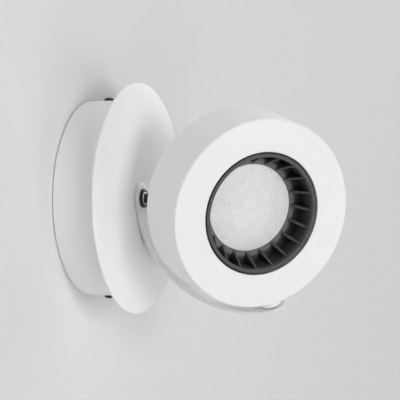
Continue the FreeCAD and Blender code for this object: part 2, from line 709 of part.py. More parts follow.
def driver_port_height():
    """The height of the driver's wire ports above the wall."""
    return ROSE_FLOOR - DRIVER_PORT_DOWN


def core_places(x):
    """The x places of a pair of leads."""
    return [x - CORE_APART / 2, x + CORE_APART / 2]


def make_supply_leads():
    """The two leads from the terminal block to the driver's lower end."""
    leads = []
    down = -DRIVER_LENGTH / 2 - CORE_LOOP
    block_foot = BLOCK_UP - BLOCK_WIDTH / 2
    port_out = BAR_T + BLOCK_PORT_OUT
    mid_out = (port_out + driver_port_height()) / 2
    poles = pole_places()
    for i, x in enumerate(core_places(DRIVER_X)):
        reach = down - i * CORE_APART
        pole = poles[-1 - i]
        corners = [Vector(pole, block_foot + CORE_IN_CONTACT, port_out), Vector(pole, reach, port_out),
                   Vector((pole + x) / 2, reach - CORE_SAG, mid_out), Vector(x, reach, driver_port_height()),
                   Vector(x, -DRIVER_LENGTH / 2, driver_port_height())]
        leads.append(bent_tube(f"supply lead {i + 1}", CORE_D / 2, corners, CORE_BEND_R))
    return Part.makeCompound(leads)


def make_lead_cores():
    """The two cores from the inner end of the head's lead to the driver's upper end."""
    cores = []
    up = DRIVER_LENGTH / 2 + CORE_LOOP
    low = BAR_T + CORE_D / 2 + CORE_WALL_CLEAR
    for i, x in enumerate(core_places(DRIVER_X)):
        start = CORE_APART / 2 - i * CORE_APART
        reach = up + i * CORE_APART
        corners = [Vector(0, start, lead_end_in_rose()), Vector(0, start, low),
                   Vector(x - CORE_SIDE, CORE_SIDE + start * 2, low), Vector(x, reach, low + CORE_LIFT),
                   Vector(x, reach + CORE_LOOP_LEAN, driver_port_height()),
                   Vector(x, DRIVER_LENGTH / 2, driver_port_height())]
        cores.append(bent_tube(f"lead core {i + 1}", CORE_D / 2, corners, CORE_BEND_R))
    return Part.makeCompound(cores)


def lead_end_in_rose():
    """Where the lead's sheath ends, just past the strain relief."""
    return RELIEF_BACK - SHEATH_PAST_RELIEF


def make_stop_pin():
    """The pin, pressed in the cup's front, that ends the arm's swivel."""
    low = STOP_BACK - STOP_PIN_PAST
    return rod(STOP_PIN_D / 2, low, ROSE_DEPTH, 0, STOP_PIN_CENTRE)


# ---- arm and its swivel pivot ------------------------------------------------------------------
def make_swing_arm():
    """The strip: flat foot, one bend, flat toe, both ends rounded."""
    inner_r = ARM_BEND_R - ARM_T
    half_w = ARM_W / 2
    tangent = bend_tangent(ARM_BEND_DEG)
    toe_end = ARM_TOE + half_w
    outer_end = bend_point(ARM_BEND_R, ARM_BEND_DEG) + tangent * toe_end
    inner_end = bend_point(inner_r, ARM_BEND_DEG) + tangent * toe_end
    half_deg = ARM_BEND_DEG / 2
    edges = [
        Part.makeLine(Vector(0, half_w, DISC_FRONT), bend_point(ARM_BEND_R, 0)),
        Part.Arc(bend_point(ARM_BEND_R, 0), bend_point(ARM_BEND_R, half_deg),
                 bend_point(ARM_BEND_R, ARM_BEND_DEG)).toShape(),
        Part.makeLine(bend_point(ARM_BEND_R, ARM_BEND_DEG), outer_end),
        Part.makeLine(outer_end, inner_end),
        Part.makeLine(inner_end, bend_point(inner_r, ARM_BEND_DEG)),
        Part.Arc(bend_point(inner_r, ARM_BEND_DEG), bend_point(inner_r, half_deg),
                 bend_point(inner_r, 0)).toShape(),
        Part.makeLine(bend_point(inner_r, 0), Vector(0, half_w, TAB_FRONT)),
        Part.makeLine(Vector(0, half_w, TAB_FRONT), Vector(0, half_w, DISC_FRONT)),
    ]
    strip = Part.Face(Part.Wire(edges)).extrude(Vector(ARM_W, 0, 0))
    strip.translate(Vector(-half_w, 0, 0))
    strip = strip.cut(strip_corners(DISC_FRONT, TAB_FRONT))
    strip = strip.cut(moved(strip_corners(-ARM_T, 0), TOE_CENTRE, X_AXIS, 180 - ARM_BEND_DEG))
    rim = [e for e in strip.Edges if not is_across(e)]
    strip = strip.makeFillet(ARM_EDGE_R, rim)
    strip = strip.cut(drill(NIPPLE_D, THREAD_GAP, DISC_FRONT, TAB_FRONT))
    screw_hole = Part.makeCylinder(TILT_SCREW_D / 2 + TURN_GAP, ARM_T + 2 * CUT_OVER,
                                   TOE_CENTRE + TILT_OUTWARD * CUT_OVER, TILT_OUTWARD * -1)
    return strip.cut(screw_hole)


def strip_corners(low, high):
    """What is cut off the strip's square end to leave it round, for a strip that lies from low to high."""
    half_w = ARM_W / 2
    reach = half_w + CUT_OVER
    corners = block(ARM_W + 2 * CUT_OVER, reach, low - CUT_OVER, high + CUT_OVER, 0, reach / 2)
    return corners.cut(drill(ARM_W, 0, low - CUT_OVER, high + CUT_OVER))


def is_across(edge):
    """True for the strip's short edges across its width or its thickness, which stay sharp."""
    if isinstance(edge.Curve, Part.Line):
        way = edge.tangentAt(edge.FirstParameter)
        return abs(way.x) > 0.9 or edge.Length < ARM_T + 0.1
    return False


def make_pivot_nipple():
    """The hollow threaded tube that the arm swivels on, with the lead through it."""
    outer = NIPPLE_D / 2
    bore = NIPPLE_BORE_D / 2
    edge = NIPPLE_CHAMFER
    return turned([(bore, NIPPLE_BACK), (outer - edge, NIPPLE_BACK), (outer, NIPPLE_BACK + edge),
                   (outer, NIPPLE_FRONT - edge), (outer - edge, NIPPLE_FRONT),
                   (bore + NIPPLE_BORE_EDGE, NIPPLE_FRONT), (bore, NIPPLE_FRONT - NIPPLE_BORE_EDGE)])


def make_pivot_washer():
    """The dark washer on the arm's foot."""
    return washer(PIVOT_WASHER_D, NIPPLE_D, THREAD_GAP, TAB_FRONT, NUT_SEAT)


def make_pivot_nut():
    """The dark nut on the arm's foot."""
    nut = hexagon(PIVOT_NUT_AF, NUT_SEAT, NUT_SEAT + PIVOT_NUT_T)
    nut = nut.common(rod(PIVOT_WASHER_D / 2, NUT_SEAT, NUT_SEAT + PIVOT_NUT_T))
    return nut.cut(drill(NIPPLE_D, THREAD_GAP, NUT_SEAT, NUT_SEAT + PIVOT_NUT_T))


def make_stop_washer():
    """The washer whose tab meets the stop pin."""
    high = STOP_BACK + STOP_WASHER_T
    plate = rod(STOP_WASHER_D / 2, STOP_BACK, high)
    tab = block(STOP_TAB_W, STOP_TAB_REACH, STOP_BACK, high, 0, -STOP_TAB_REACH / 2)
    return plate.fuse(tab).removeSplitter().cut(drill(NIPPLE_D, THREAD_GAP, STOP_BACK, high))


def make_back_spring():
    """The spring washer that gives the swivel its friction."""
    return washer(BACK_SPRING_D, NIPPLE_D, THREAD_GAP, SPRING_BACK, STOP_BACK)


def make_back_nut():
    """The nut inside the rose."""
    nut = hexagon(BACK_NUT_AF, BACK_NUT_BACK, SPRING_BACK)
    return nut.cut(drill(NIPPLE_D, THREAD_GAP, BACK_NUT_BACK, SPRING_BACK))


def relief_screw_height():
    """The middle of the part that grips the lead."""
    return RELIEF_BACK + RELIEF_GRIP / 2


def make_strain_relief():
    """The plastic clamp on the inner end of the pivot tube."""
    outer = RELIEF_D / 2
    bore = LEAD_R + GLAND_GAP
    socket = NIPPLE_D / 2 + THREAD_GAP
    body = turned([(bore, RELIEF_BACK), (outer - RELIEF_EDGE, RELIEF_BACK), (outer, RELIEF_BACK + RELIEF_EDGE),
                   (outer, RELIEF_FRONT - RELIEF_RIM), (outer - RELIEF_RIM, RELIEF_FRONT),
                   (socket, RELIEF_FRONT), (socket, NIPPLE_BACK), (bore, NIPPLE_BACK)])
    hole = Part.makeCylinder(RELIEF_SCREW_D / 2 + THREAD_GAP, RELIEF_D,
                             Vector(0, 0, relief_screw_height()), X_AXIS * -1)
    return body.cut(hole)


def make_relief_screw():
    """The grub screw that presses on the lead."""
    start = Vector(-LEAD_R - GLAND_GAP, 0, relief_screw_height())
    screw = Part.makeCylinder(RELIEF_SCREW_D / 2, RELIEF_SCREW_LENGTH, start, X_AXIS * -1)
    outer_end = -LEAD_R - GLAND_GAP - RELIEF_SCREW_LENGTH
    low = relief_screw_height() - RELIEF_SCREW_D / 2
    high = low + RELIEF_SCREW_D
    slot = block(2 * RELIEF_SLOT_DEPTH, RELIEF_SLOT_W, low - CUT_OVER, high + CUT_OVER, outer_end, 0)
    return screw.cut(slot)


# ---- head --------------------------------------------------------------------------------------
def make_head_shell():
    """The drum: ring face, side wall, rear posts and the inside pad of the tilt nut."""
    front = HEAD_FRONT
    drum = rod(HEAD_R, -HEAD_BACK, front)
    drum = drum.makeFillet(FACE_EDGE_R, circle_edges(drum, HEAD_R, front))
    drum = drum.makeFillet(REAR_EDGE_R, circle_edges(drum, HEAD_R, -HEAD_BACK))
    shell = drum.cut(rod(HEAD_INSIDE_R, -HEAD_BACK - CUT_OVER, FACE_BACK))
    window_r = BEZEL_R + SHADOW_GAP
    shell = shell.cut(drill(BEZEL_D, SHADOW_GAP, FACE_BACK, front))
    shell = shell.makeFillet(WINDOW_EDGE_R, circle_edges(shell, window_r, front))
    post = rod(POST_D / 2, COVER_FRONT, FACE_BACK, 0, POST_CENTRE)
    post_hole = blind(M3_D, COVER_FRONT, POST_HOLE_DEPTH, POST_CENTRE)
    web_end = HEAD_INSIDE_R + WEB_BITE
    web = block(POST_WEB_T, web_end - POST_CENTRE, COVER_FRONT, FACE_BACK, 0, (web_end + POST_CENTRE) / 2)
    for solid in around(post.fuse(web), POSTS):
        shell = shell.fuse(solid)
    pad = block(PAD_W, HEAD_WALL + PAD_T, -PAD_W / 2, PAD_W / 2, 0, -HEAD_INSIDE_R + PAD_T / 2 - HEAD_WALL / 2)
    shell = shell.fuse(pad.common(rod(HEAD_R - PAD_SINK, -PAD_W, PAD_W)))
    shell = cut_all(shell, around(post_hole, POSTS))
    flange_hole = blind(M3_D, FACE_BACK, BEZEL_SCREW_HOLE, bezel_screw_centre())
    shell = cut_all(shell, around(flange_hole, BEZEL_SCREWS, 60))
    shell = shell.cut(tilt_bore(TILT_SCREW_D / 2 + THREAD_GAP))
    return shell.removeSplitter()


def tilt_bore(radius):
    """A round hole along the tilt axis, on the arm's side of the head."""
    return Part.makeCylinder(radius, HEAD_R, Vector(0, -HEAD_R / 2, 0), Y_AXIS * -1)


def make_rear_cover():
    """The plate that closes the drum's back, inset by a shadow line."""
    cover_r = HEAD_INSIDE_R - COVER_GAP
    plate = rod(cover_r, COVER_BACK, COVER_FRONT)
    plate = plate.makeChamfer(COVER_EDGE, circle_edges(plate, cover_r, COVER_BACK))
    hole = drill(M3_D, PASS_GAP, COVER_BACK, COVER_FRONT, 0, POST_CENTRE)
    plate = cut_all(plate, around(hole, POSTS))
    return plate.cut(rod(GLAND_NECK_D / 2, COVER_BACK - CUT_OVER, COVER_FRONT + CUT_OVER))


def make_rear_screws():
    """The screws through the rear cover into the shell's posts."""
    screw = pan_screw(M3_D / 2, M3_HEAD_D / 2, REAR_HEAD_H, REAR_SCREW_LENGTH, M3_RECESS_D / 2, M3_RECESS_DEPTH)
    screw.rotate(ORIGIN, X_AXIS, 180)
    screw.translate(Vector(0, POST_CENTRE, COVER_BACK))
    return Part.makeCompound(around(screw, POSTS))


def make_lead_gland():
    """The black bush where the lead goes into the rear cover."""
    bore = LEAD_R + GLAND_GAP
    neck = GLAND_NECK_D / 2
    flange_back = COVER_BACK - GLAND_FLANGE_T
    tail = GLAND_TAIL_D / 2
    collar = GLAND_INSIDE_D / 2
    collar_front = COVER_FRONT + GLAND_INSIDE_T
    return turned([(bore, GLAND_BACK), (tail - GLAND_TAIL_EDGE, GLAND_BACK),
                   (tail, GLAND_BACK + GLAND_TAIL_EDGE), (tail, flange_back),
                   (GLAND_D / 2 - GLAND_EDGE, flange_back),
                   (GLAND_D / 2, flange_back + GLAND_EDGE), (GLAND_D / 2, COVER_BACK), (neck, COVER_BACK),
                   (neck, COVER_FRONT), (collar, COVER_FRONT), (collar - GLAND_TAIL_EDGE, collar_front),
                   (bore, collar_front)])


def bezel_screw_centre():
    """The radius of the circle that the bezel's screws lie on."""
    return BEZEL_R + BEZEL_FLANGE - BEZEL_SCREW_IN


def bezel_fin():
    """One radial gusset: low at the lens, rising to just under the lip."""
    toe_r = LENS_R + LENS_GAP + FIN_TOE_GAP
    heel_r = LIP_R + FIN_ROOT
    top = LIP_TOP - FIN_BELOW_LIP
    foot = BEZEL_FLOOR - FIN_SINK
    outline = [Vector(toe_r, 0, foot), Vector(toe_r, 0, BEZEL_FLOOR + FIN_TOE),
               Vector(LIP_R - FIN_TOP_RUN, 0, top), Vector(heel_r, 0, top), Vector(heel_r, 0, foot)]
    fin = Part.Face(Part.makePolygon(outline + outline[:1])).extrude(Vector(0, FIN_T, 0))
    fin.translate(Vector(0, -FIN_T / 2, 0))
    return fin


def make_bezel():
    """The dark ring: lip, skirt, floor round the lens, rear flange and 20 radial fins."""
    flange_r = BEZEL_R + BEZEL_FLANGE
    flange_low = FACE_BACK - BEZEL_FLANGE_T
    lens_hole = LENS_R + LENS_GAP
    body = turned([(LIP_R, LIP_TOP), (BEZEL_R - BEZEL_EDGE, LIP_TOP), (BEZEL_R, LIP_TOP - BEZEL_EDGE),
                   (BEZEL_R, FACE_BACK), (flange_r, FACE_BACK), (flange_r, flange_low), (BEZEL_R, flange_low),
                   (BEZEL_R, SINK_FACE), (SKIRT_R, SINK_FACE), (SKIRT_R, FLOOR_BACK), (lens_hole, FLOOR_BACK),
                   (lens_hole, BEZEL_FLOOR), (LIP_R, BEZEL_FLOOR)])
    for fin in around(bezel_fin(), FIN_COUNT):
        body = body.fuse(fin)
    hole = drill(M3_D, PASS_GAP, flange_low, FACE_BACK, 0, bezel_screw_centre())
    body = cut_all(body, around(hole, BEZEL_SCREWS, 60))
    sink_hole = blind(SINK_SCREW_D, SINK_FACE, SINK_SCREW_DEPTH, sink_screw_centre())
    body = cut_all(body, around(sink_hole, SINK_SCREWS))
    return body.removeSplitter()


def make_bezel_screws():
    """The screws, from behind, that hold the bezel's flange on the face."""
    low = FACE_BACK - BEZEL_FLANGE_T
    screw = pan_screw(M3_D / 2, M3_HEAD_D / 2, M3_HEAD_H, BEZEL_FLANGE_T + BEZEL_SCREW_BITE,
                      M3_RECESS_D / 2, M3_RECESS_DEPTH)
    screw.rotate(ORIGIN, X_AXIS, 180)
    screw.translate(Vector(0, bezel_screw_centre(), low))
    return Part.makeCompound(around(screw, BEZEL_SCREWS, 60))


def make_diffuser():
    """The frosted lens, with a flange behind the bezel's floor."""
    seat_r = LENS_R + LENS_FLANGE
    rim_r = LENS_R - LENS_RIM
    return turned([(0, LENS_FRONT), (LENS_R - LENS_EDGE, LENS_FRONT), (LENS_R, LENS_FRONT - LENS_EDGE),
                   (LENS_R, FLOOR_BACK), (seat_r, FLOOR_BACK), (seat_r, LENS_SEAT_BACK),
                   (rim_r, LENS_SEAT_BACK), (rim_r, LENS_BACK), (0, LENS_BACK)])


def make_light_chamber():
    """The white ring that holds the lens off the board and reflects its light."""
    outer = SKIRT_R - BOARD_GAP
    foot = outer - CHAMBER_WALL
    lip = LENS_SEAT_BACK - CHAMBER_LIP
    return turned([(THROAT_R, LENS_SEAT_BACK), (outer, LENS_SEAT_BACK), (outer, CHAMBER_BACK),
                   (foot, CHAMBER_BACK), (foot, CHAMBER_BACK + CHAMBER_LIP), (THROAT_R + CHAMBER_LIP, lip),
                   (THROAT_R, lip)])


def make_led_board():
    """The round board, with holes for its screws and for the lead's cores."""
    board = rod(BOARD_R, BOARD_BACK, CHAMBER_BACK)
    hole = drill(BOARD_SCREW_D, PASS_GAP, BOARD_BACK, CHAMBER_BACK, 0, BOARD_SCREW_CENTRE)
    board = cut_all(board, around(hole, BOARD_SCREWS, 30))
    return cut_all(board, [drill(CORE_D, PASS_GAP, BOARD_BACK, CHAMBER_BACK, x, 0) for x in core_places(0)])


def make_led_chips():
    """The light-emitting chips, in two rings on the board."""
    chips = []
    for inset, count in CHIP_RINGS:
        chip = block(CHIP_W, CHIP_W, CHAMBER_BACK, CHAMBER_BACK + CHIP_H, BOARD_SCREW_CENTRE - inset, 0)
        chips.extend(around(chip, count))
    return Part.makeCompound(chips)


def make_board_connector():
    """The push-in connector at the board's centre."""
    body = block(CONNECTOR_W, CONNECTOR_L, CHAMBER_BACK, CHAMBER_BACK + CONNECTOR_H)
    return cut_all(body, [blind(CORE_D, CHAMBER_BACK, CONNECTOR_BITE, 0, x) for x in core_places(0)])


def make_board_screws():
    """The screws that press the board on the heat sink."""
    screw = pan_screw(BOARD_SCREW_D / 2, BOARD_HEAD_D / 2, BOARD_HEAD_H, BOARD_SCREW_LENGTH,
                      BOARD_RECESS_D / 2, BOARD_RECESS_DEPTH)
    screw.translate(Vector(0, BOARD_SCREW_CENTRE, CHAMBER_BACK))
    return Part.makeCompound(around(screw, BOARD_SCREWS, 30))


def make_thermal_pad():
    """The heat-conducting sheet between board and heat sink."""
    pad = rod(BOARD_R, SINK_FACE, BOARD_BACK)
    hole = drill(BOARD_SCREW_D, PASS_GAP, SINK_FACE, BOARD_BACK, 0, BOARD_SCREW_CENTRE)
    pad = cut_all(pad, around(hole, BOARD_SCREWS, 30))
    return pad.cut(rod(SINK_HOLE_D / 2, SINK_FACE - CUT_OVER, BOARD_BACK + CUT_OVER))


def sink_screw_centre():
    """The radius of the circle that the heat sink's screws lie on, in the bezel's skirt."""
    return BEZEL_R - SKIRT_WALL / 2


def make_heat_sink():
    """The aluminium block behind the board, with straight fins to the rear."""
    fin_back = COVER_FRONT + SINK_CLEAR
    base = rod(BEZEL_R, SINK_BACK, SINK_FACE)
    comb = rod(SKIRT_R - COMB_INSET, fin_back, SINK_BACK)
    slot_w = SINK_FIN_PITCH - SINK_FIN_T
    for i in range(SINK_FINS + 1):
        x = (i - SINK_FINS / 2) * SINK_FIN_PITCH
        comb = comb.cut(block(slot_w, BEZEL_D + 2, fin_back - CUT_OVER, SINK_BACK, x, 0))
    sink = base.fuse(comb)
    sink = sink.cut(rod(SINK_HOLE_D / 2, fin_back - CUT_OVER, SINK_FACE + CUT_OVER))
    sink = sink.cut(rod(GLAND_INSIDE_D / 2 + BOARD_GAP, fin_back - CUT_OVER, lead_end_in_head() + BOARD_GAP))
    hole = drill(BOARD_SCREW_D, THREAD_GAP, SINK_BACK, SINK_FACE, 0, BOARD_SCREW_CENTRE)
    sink = cut_all(sink, around(hole, BOARD_SCREWS, 30))
    rim_hole = drill(SINK_SCREW_D, PASS_GAP, SINK_BACK, SINK_FACE, 0, sink_screw_centre())
    return cut_all(sink, around(rim_hole, SINK_SCREWS)).removeSplitter()


def make_sink_screws():
    """The screws that hold the heat sink on the bezel's skirt."""
    length = SINK_BASE_T + SINK_SCREW_DEPTH - SCREW_END_GAP
    screw = pan_screw(SINK_SCREW_D / 2, SINK_HEAD_D / 2, SINK_HEAD_H, length,
                      SINK_RECESS_D / 2, SINK_RECESS_DEPTH)
    screw.rotate(ORIGIN, X_AXIS, 180)
    screw.translate(Vector(0, sink_screw_centre(), SINK_BACK))
    return Part.makeCompound(around(screw, SINK_SCREWS))


def lead_end_in_head():
    """Where the lead's sheath ends, just inside the gland."""
    return COVER_FRONT + GLAND_INSIDE_T


def make_board_leads():
    """The two cores from the end of the sheath to the board's connector."""
    return Part.makeCompound([rod(CORE_D / 2, lead_end_in_head(), CHAMBER_BACK + CONNECTOR_BITE, x, 0)
                              for x in core_places(0)])


# ---- tilt pivot, in the head's frame -----------------------------------------------------------
def along_tilt_axis(shape):
    """Turns a shape drawn along z so that it lies along the tilt axis, z pointing at the arm."""
    copy = shape.copy()
    copy.rotate(ORIGIN, X_AXIS, 90)
    return copy


def make_tilt_spacer():
    """The round boss between drum and arm, hollowed to sit on the drum."""
    top = HEAD_R + SPACER_H
    boss = rod(SPACER_D / 2, HEAD_INSIDE_R, top)
    boss = boss.makeFillet(SPACER_EDGE_R, circle_edges(boss, SPACER_D / 2, top))
    boss = along_tilt_axis(boss.cut(rod(TILT_SCREW_D / 2 + THREAD_GAP, 0, top + CUT_OVER)))
    return boss.cut(rod(HEAD_R, -SPACER_D, SPACER_D))


def make_tilt_washer():
    """The fibre washer between the boss and the arm."""
    low = HEAD_R + SPACER_H
    return along_tilt_axis(washer(TILT_WASHER_D, TILT_SCREW_D, PASS_GAP, low, low + TILT_WASHER_T - FACE_GAP))


def make_tilt_spring():
    """The spring washer under the tilt screw's head."""
    low = TILT_TAB_OUT + FACE_GAP
    return along_tilt_axis(washer(TILT_SPRING_D, TILT_SCREW_D, PASS_GAP, low, low + TILT_SPRING_T))


def make_tilt_screw():
    """The screw that the head tilts about."""
    seat = TILT_TAB_OUT + FACE_GAP + TILT_SPRING_T
    end = HEAD_INSIDE_R - PAD_T - TILT_NUT_T - TILT_SCREW_PAST
    screw = pan_screw(TILT_SCREW_D / 2, TILT_HEAD_D / 2, TILT_HEAD_H, seat - end,
                      TILT_SOCKET_D / 2, TILT_SOCKET_DEPTH)
    screw.translate(Vector(0, 0, seat))
    return along_tilt_axis(screw)


def make_tilt_nut():
    """The nut on the pad inside the shell."""
    high = HEAD_INSIDE_R - PAD_T
    nut = hexagon(TILT_NUT_AF, high - TILT_NUT_T, high)
    return along_tilt_axis(nut.cut(rod(TILT_SCREW_D / 2 + THREAD_GAP, 0, HEAD_R)))


# ---- the lead from the rose to the head, in the arm's frame ------------------------------------
def make_head_lead():
    """The black lead: through the pivot tube, then in an S to the gland at the head's back."""
    gland_mouth = HEAD_IN_ARM.multVec(Vector(0, 0, GLAND_BACK))
    inside_end = HEAD_IN_ARM.multVec(Vector(0, 0, lead_end_in_head()))
    shine = HEAD_IN_ARM.Rotation.multVec(Z_AXIS)
    leave = Vector(0, 0, NIPPLE_FRONT + LEAD_LEAVES)
    enter = gland_mouth - shine * LEAD_ENTERS
    corners = [Vector(0, 0, lead_end_in_rose()), leave, enter, inside_end]
    return bent_tube("head lead", LEAD_R, corners, LEAD_BEND_R)


ROSE_PIECES = {
    "wall_bracket": make_wall_bracket,
    "rose_housing": make_rose_housing,
    "front_disc": make_front_disc,
    "side_screws": make_side_screws,
    "cable_grommet": make_cable_grommet,
    "earth_screw": make_earth_screw,
    "earth_washer": make_earth_washer,
    "terminal_block": make_terminal_block,
    "terminal_contacts": make_terminal_contacts,
    "terminal_screw": make_terminal_screw,
    "led_driver": make_led_driver,
    "driver_screws": make_driver_screws,
    "supply_leads": make_supply_leads,
    "lead_cores": make_lead_cores,
    "stop_pin": make_stop_pin,
}
ARM_PIECES = {
    "swing_arm": make_swing_arm,
    "pivot_nipple": make_pivot_nipple,
    "pivot_washer": make_pivot_washer,
    "pivot_nut": make_pivot_nut,
    "stop_washer": make_stop_washer,
    "back_spring": make_back_spring,
    "back_nut": make_back_nut,
    "strain_relief": make_strain_relief,
    "relief_screw": make_relief_screw,
    "head_lead": make_head_lead,
}
HEAD_PIECES = {
    "head_shell": make_head_shell,
    "rear_cover": make_rear_cover,
    "rear_screws": make_rear_screws,
    "lead_gland": make_lead_gland,
    "bezel": make_bezel,
    "bezel_screws": make_bezel_screws,
    "diffuser": make_diffuser,
    "light_chamber": make_light_chamber,
    "led_board": make_led_board,
    "led_chips": make_led_chips,
    "board_connector": make_board_connector,
    "board_screws": make_board_screws,
    "thermal_pad": make_thermal_pad,
    "heat_sink": make_heat_sink,
    "sink_screws": make_sink_screws,
    "board_leads": make_board_leads,
    "tilt_spacer": make_tilt_spacer,
    "tilt_washer": make_tilt_washer,
    "tilt_spring": make_tilt_spring,
    "tilt_screw": make_tilt_screw,
    "tilt_nut": make_tilt_nut,
}


def main():
    """Builds each piece, places it and writes it to parts/."""
    os.makedirs("parts", exist_ok=True)
    for pieces, place in ((ROSE_PIECES, ROSE_PLACE), (ARM_PIECES, ARM_PLACE), (HEAD_PIECES, HEAD_PLACE)):
        for name, make in pieces.items():
            shape = make()
            shape.Placement = place.multiply(shape.Placement)
            if not shape.isValid():
                print(f"{name}: not a valid shape")
            shape.exportStep(f"parts/{name}.step")
            print(f"{name}: {len(shape.Solids)} solids, {shape.Volume:.1f} mm3")


main()
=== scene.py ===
"""Looks of the pivoting spotlight wall light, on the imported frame.

Row frame, in metres: the wall is the plane Y = 0, the light stands out from it towards -Y,
+Z is up. Each sub-assembly is drawn in millimetres in a frame of its own, and its meshes are
then placed:
  rose  z = distance out from the wall, y = up, x = right
  arm   as the rose, with the arm hanging towards -y, before it swivels
  head  z = the way the light shines, tilt pivot towards -y, origin on the tilt axis
The name of a size ends in _d for a diameter, _r a radius, _t a thickness, _w a width and _h a
height; _round is an edge's rounding, _edge its chamfer and _play the gap between two pieces.
"""
import json
import logging
import math
from dataclasses import dataclass
from enum import Enum

import bmesh
import bpy
from mathutils import Matrix, Vector

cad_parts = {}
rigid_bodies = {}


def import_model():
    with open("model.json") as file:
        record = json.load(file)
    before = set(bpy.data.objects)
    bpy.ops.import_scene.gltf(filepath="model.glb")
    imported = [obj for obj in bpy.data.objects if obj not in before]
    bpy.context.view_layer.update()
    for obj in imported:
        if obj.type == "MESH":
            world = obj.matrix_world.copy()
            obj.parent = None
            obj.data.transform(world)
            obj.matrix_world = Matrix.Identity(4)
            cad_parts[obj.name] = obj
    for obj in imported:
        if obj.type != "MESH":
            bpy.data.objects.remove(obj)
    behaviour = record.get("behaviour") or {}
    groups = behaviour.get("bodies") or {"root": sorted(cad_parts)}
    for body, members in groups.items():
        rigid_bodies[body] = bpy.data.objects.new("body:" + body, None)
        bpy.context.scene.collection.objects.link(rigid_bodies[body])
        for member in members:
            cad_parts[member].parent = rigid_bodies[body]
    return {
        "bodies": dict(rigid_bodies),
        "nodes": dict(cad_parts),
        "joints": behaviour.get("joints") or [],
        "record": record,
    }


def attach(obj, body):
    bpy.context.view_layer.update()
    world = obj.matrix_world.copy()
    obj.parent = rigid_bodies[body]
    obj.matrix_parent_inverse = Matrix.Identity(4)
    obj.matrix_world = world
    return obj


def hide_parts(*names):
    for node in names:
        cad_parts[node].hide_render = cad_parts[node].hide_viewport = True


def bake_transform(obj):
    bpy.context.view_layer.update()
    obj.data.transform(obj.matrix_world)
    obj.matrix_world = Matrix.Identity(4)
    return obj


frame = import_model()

log = logging.getLogger("wall_light")

Outline = list[tuple[float, float]]
Colour = tuple[float, float, float]
Socket = bpy.types.NodeSocket

MM = 0.001  # metres in a millimetre
WELD_DISTANCE = 0.002  # mm, within which two points of a mesh are one
SMOOTH_BELOW_DEG = 32.0  # edges flatter than this are shaded smooth
RIM_STEPS = 240  # facets round the disc's rim and the drum
BEZEL_STEPS = 160  # round the bezel
LATHE_STEPS = 144  # round other large pieces
BUSH_STEPS = 64  # round a tube, a boss or a bush
SMALL_STEPS = 48  # round a screw's head or a nut's bore
THREAD_STEPS = 24  # round a thread
HEXAGON = 6  # flats of a nut or a socket
THREAD_DEPTH = 0.55  # of a thread, as a share of its pitch
PAST = 1.0  # mm that a cutting shape reaches past what it cuts


class Body(Enum):
    """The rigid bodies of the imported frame."""

    ROSE = "rose"
    ARM = "arm"
    HEAD = "head"


class Slot(Enum):
    """The record's material slots."""

    WHITE_PAINT = "white_paint"
    ARM_PAINT = "arm_paint"
    BLACK_STEEL = "black_steel"
    ZINC_STEEL = "zinc_steel"
    PLATED_TUBE = "plated_tube"
    BRASS = "brass"
    BLACK_RUBBER = "black_rubber"
    BLACK_LEAD = "black_lead"
    BEZEL_GREY = "bezel_grey"
    FROSTED_LENS = "frosted_lens"
    WHITE_PLASTIC = "white_plastic"
    BOARD_WHITE = "board_white"
    CHIP_YELLOW = "chip_yellow"
    PAD_GREY = "pad_grey"
    SINK_ALUMINIUM = "sink_aluminium"
    FIBRE_BLACK = "fibre_black"
    CORE_INSULATION = "core_insulation"


class Carve(Enum):
    """How one solid changes another."""

    CUT = "DIFFERENCE"
    KEEP_COMMON = "INTERSECT"


@dataclass(frozen=True)
class RestPose:
    """Angles of the joints at rest, in degrees, and the frames that follow from them."""

    swivel_deg: float = 22.9  # arm, about the wall normal, from hanging straight down
    tilt_deg: float = 43.5  # head, about the tilt axis, from facing along the arm's end
    bend_deg: float = 95.0  # how far the arm's strip is bent round

    def rose(self) -> Matrix:
        """The rose's frame, in the row frame, from millimetres."""
        return Matrix.Rotation(math.radians(90), 4, "X") @ Matrix.Scale(MM, 4)

    def arm(self) -> Matrix:
        """The arm's frame, in the row frame, from millimetres."""
        return self.rose() @ Matrix.Rotation(math.radians(self.swivel_deg), 4, "Z")

    def head_in_arm(self) -> Matrix:
        """The head's frame in the arm's, both in millimetres.

        Returns:
            The frame, its origin on the tilt joint.
        """
        pivot = next(joint for joint in frame["joints"] if joint["name"] == "head_tilt")
        centre = self.arm().inverted() @ Vector(pivot["pos_m"])
        lean = Matrix.Rotation(math.radians(90 - self.bend_deg), 4, "X")
        tilt = Matrix.Rotation(math.radians(-self.tilt_deg), 4, "Y")
        return Matrix.Translation(centre) @ lean @ tilt

    def head(self) -> Matrix:
        """The head's frame, in the row frame, from millimetres."""
        return self.arm() @ self.head_in_arm()


# ---- shapes ----
def arc(centre: tuple[float, float], radius: float, start_deg: float, end_deg: float,
        steps: int = 5) -> Outline:
    """Points along a round stretch of an outline, from one angle to another."""
    angles = [math.radians(start_deg + (end_deg - start_deg) * i / steps) for i in range(steps + 1)]
    return [(centre[0] + radius * math.cos(a), centre[1] + radius * math.sin(a)) for a in angles]


def shown(name: str, data: bpy.types.ID) -> bpy.types.Object:
    """A new object in the scene, at the origin.

    Args:
        name: its name.
        data: its mesh, curve, light or camera.

    Returns:
        The object.
    """
    obj = bpy.data.objects.new(name, data)
    bpy.context.scene.collection.objects.link(obj)
    return obj


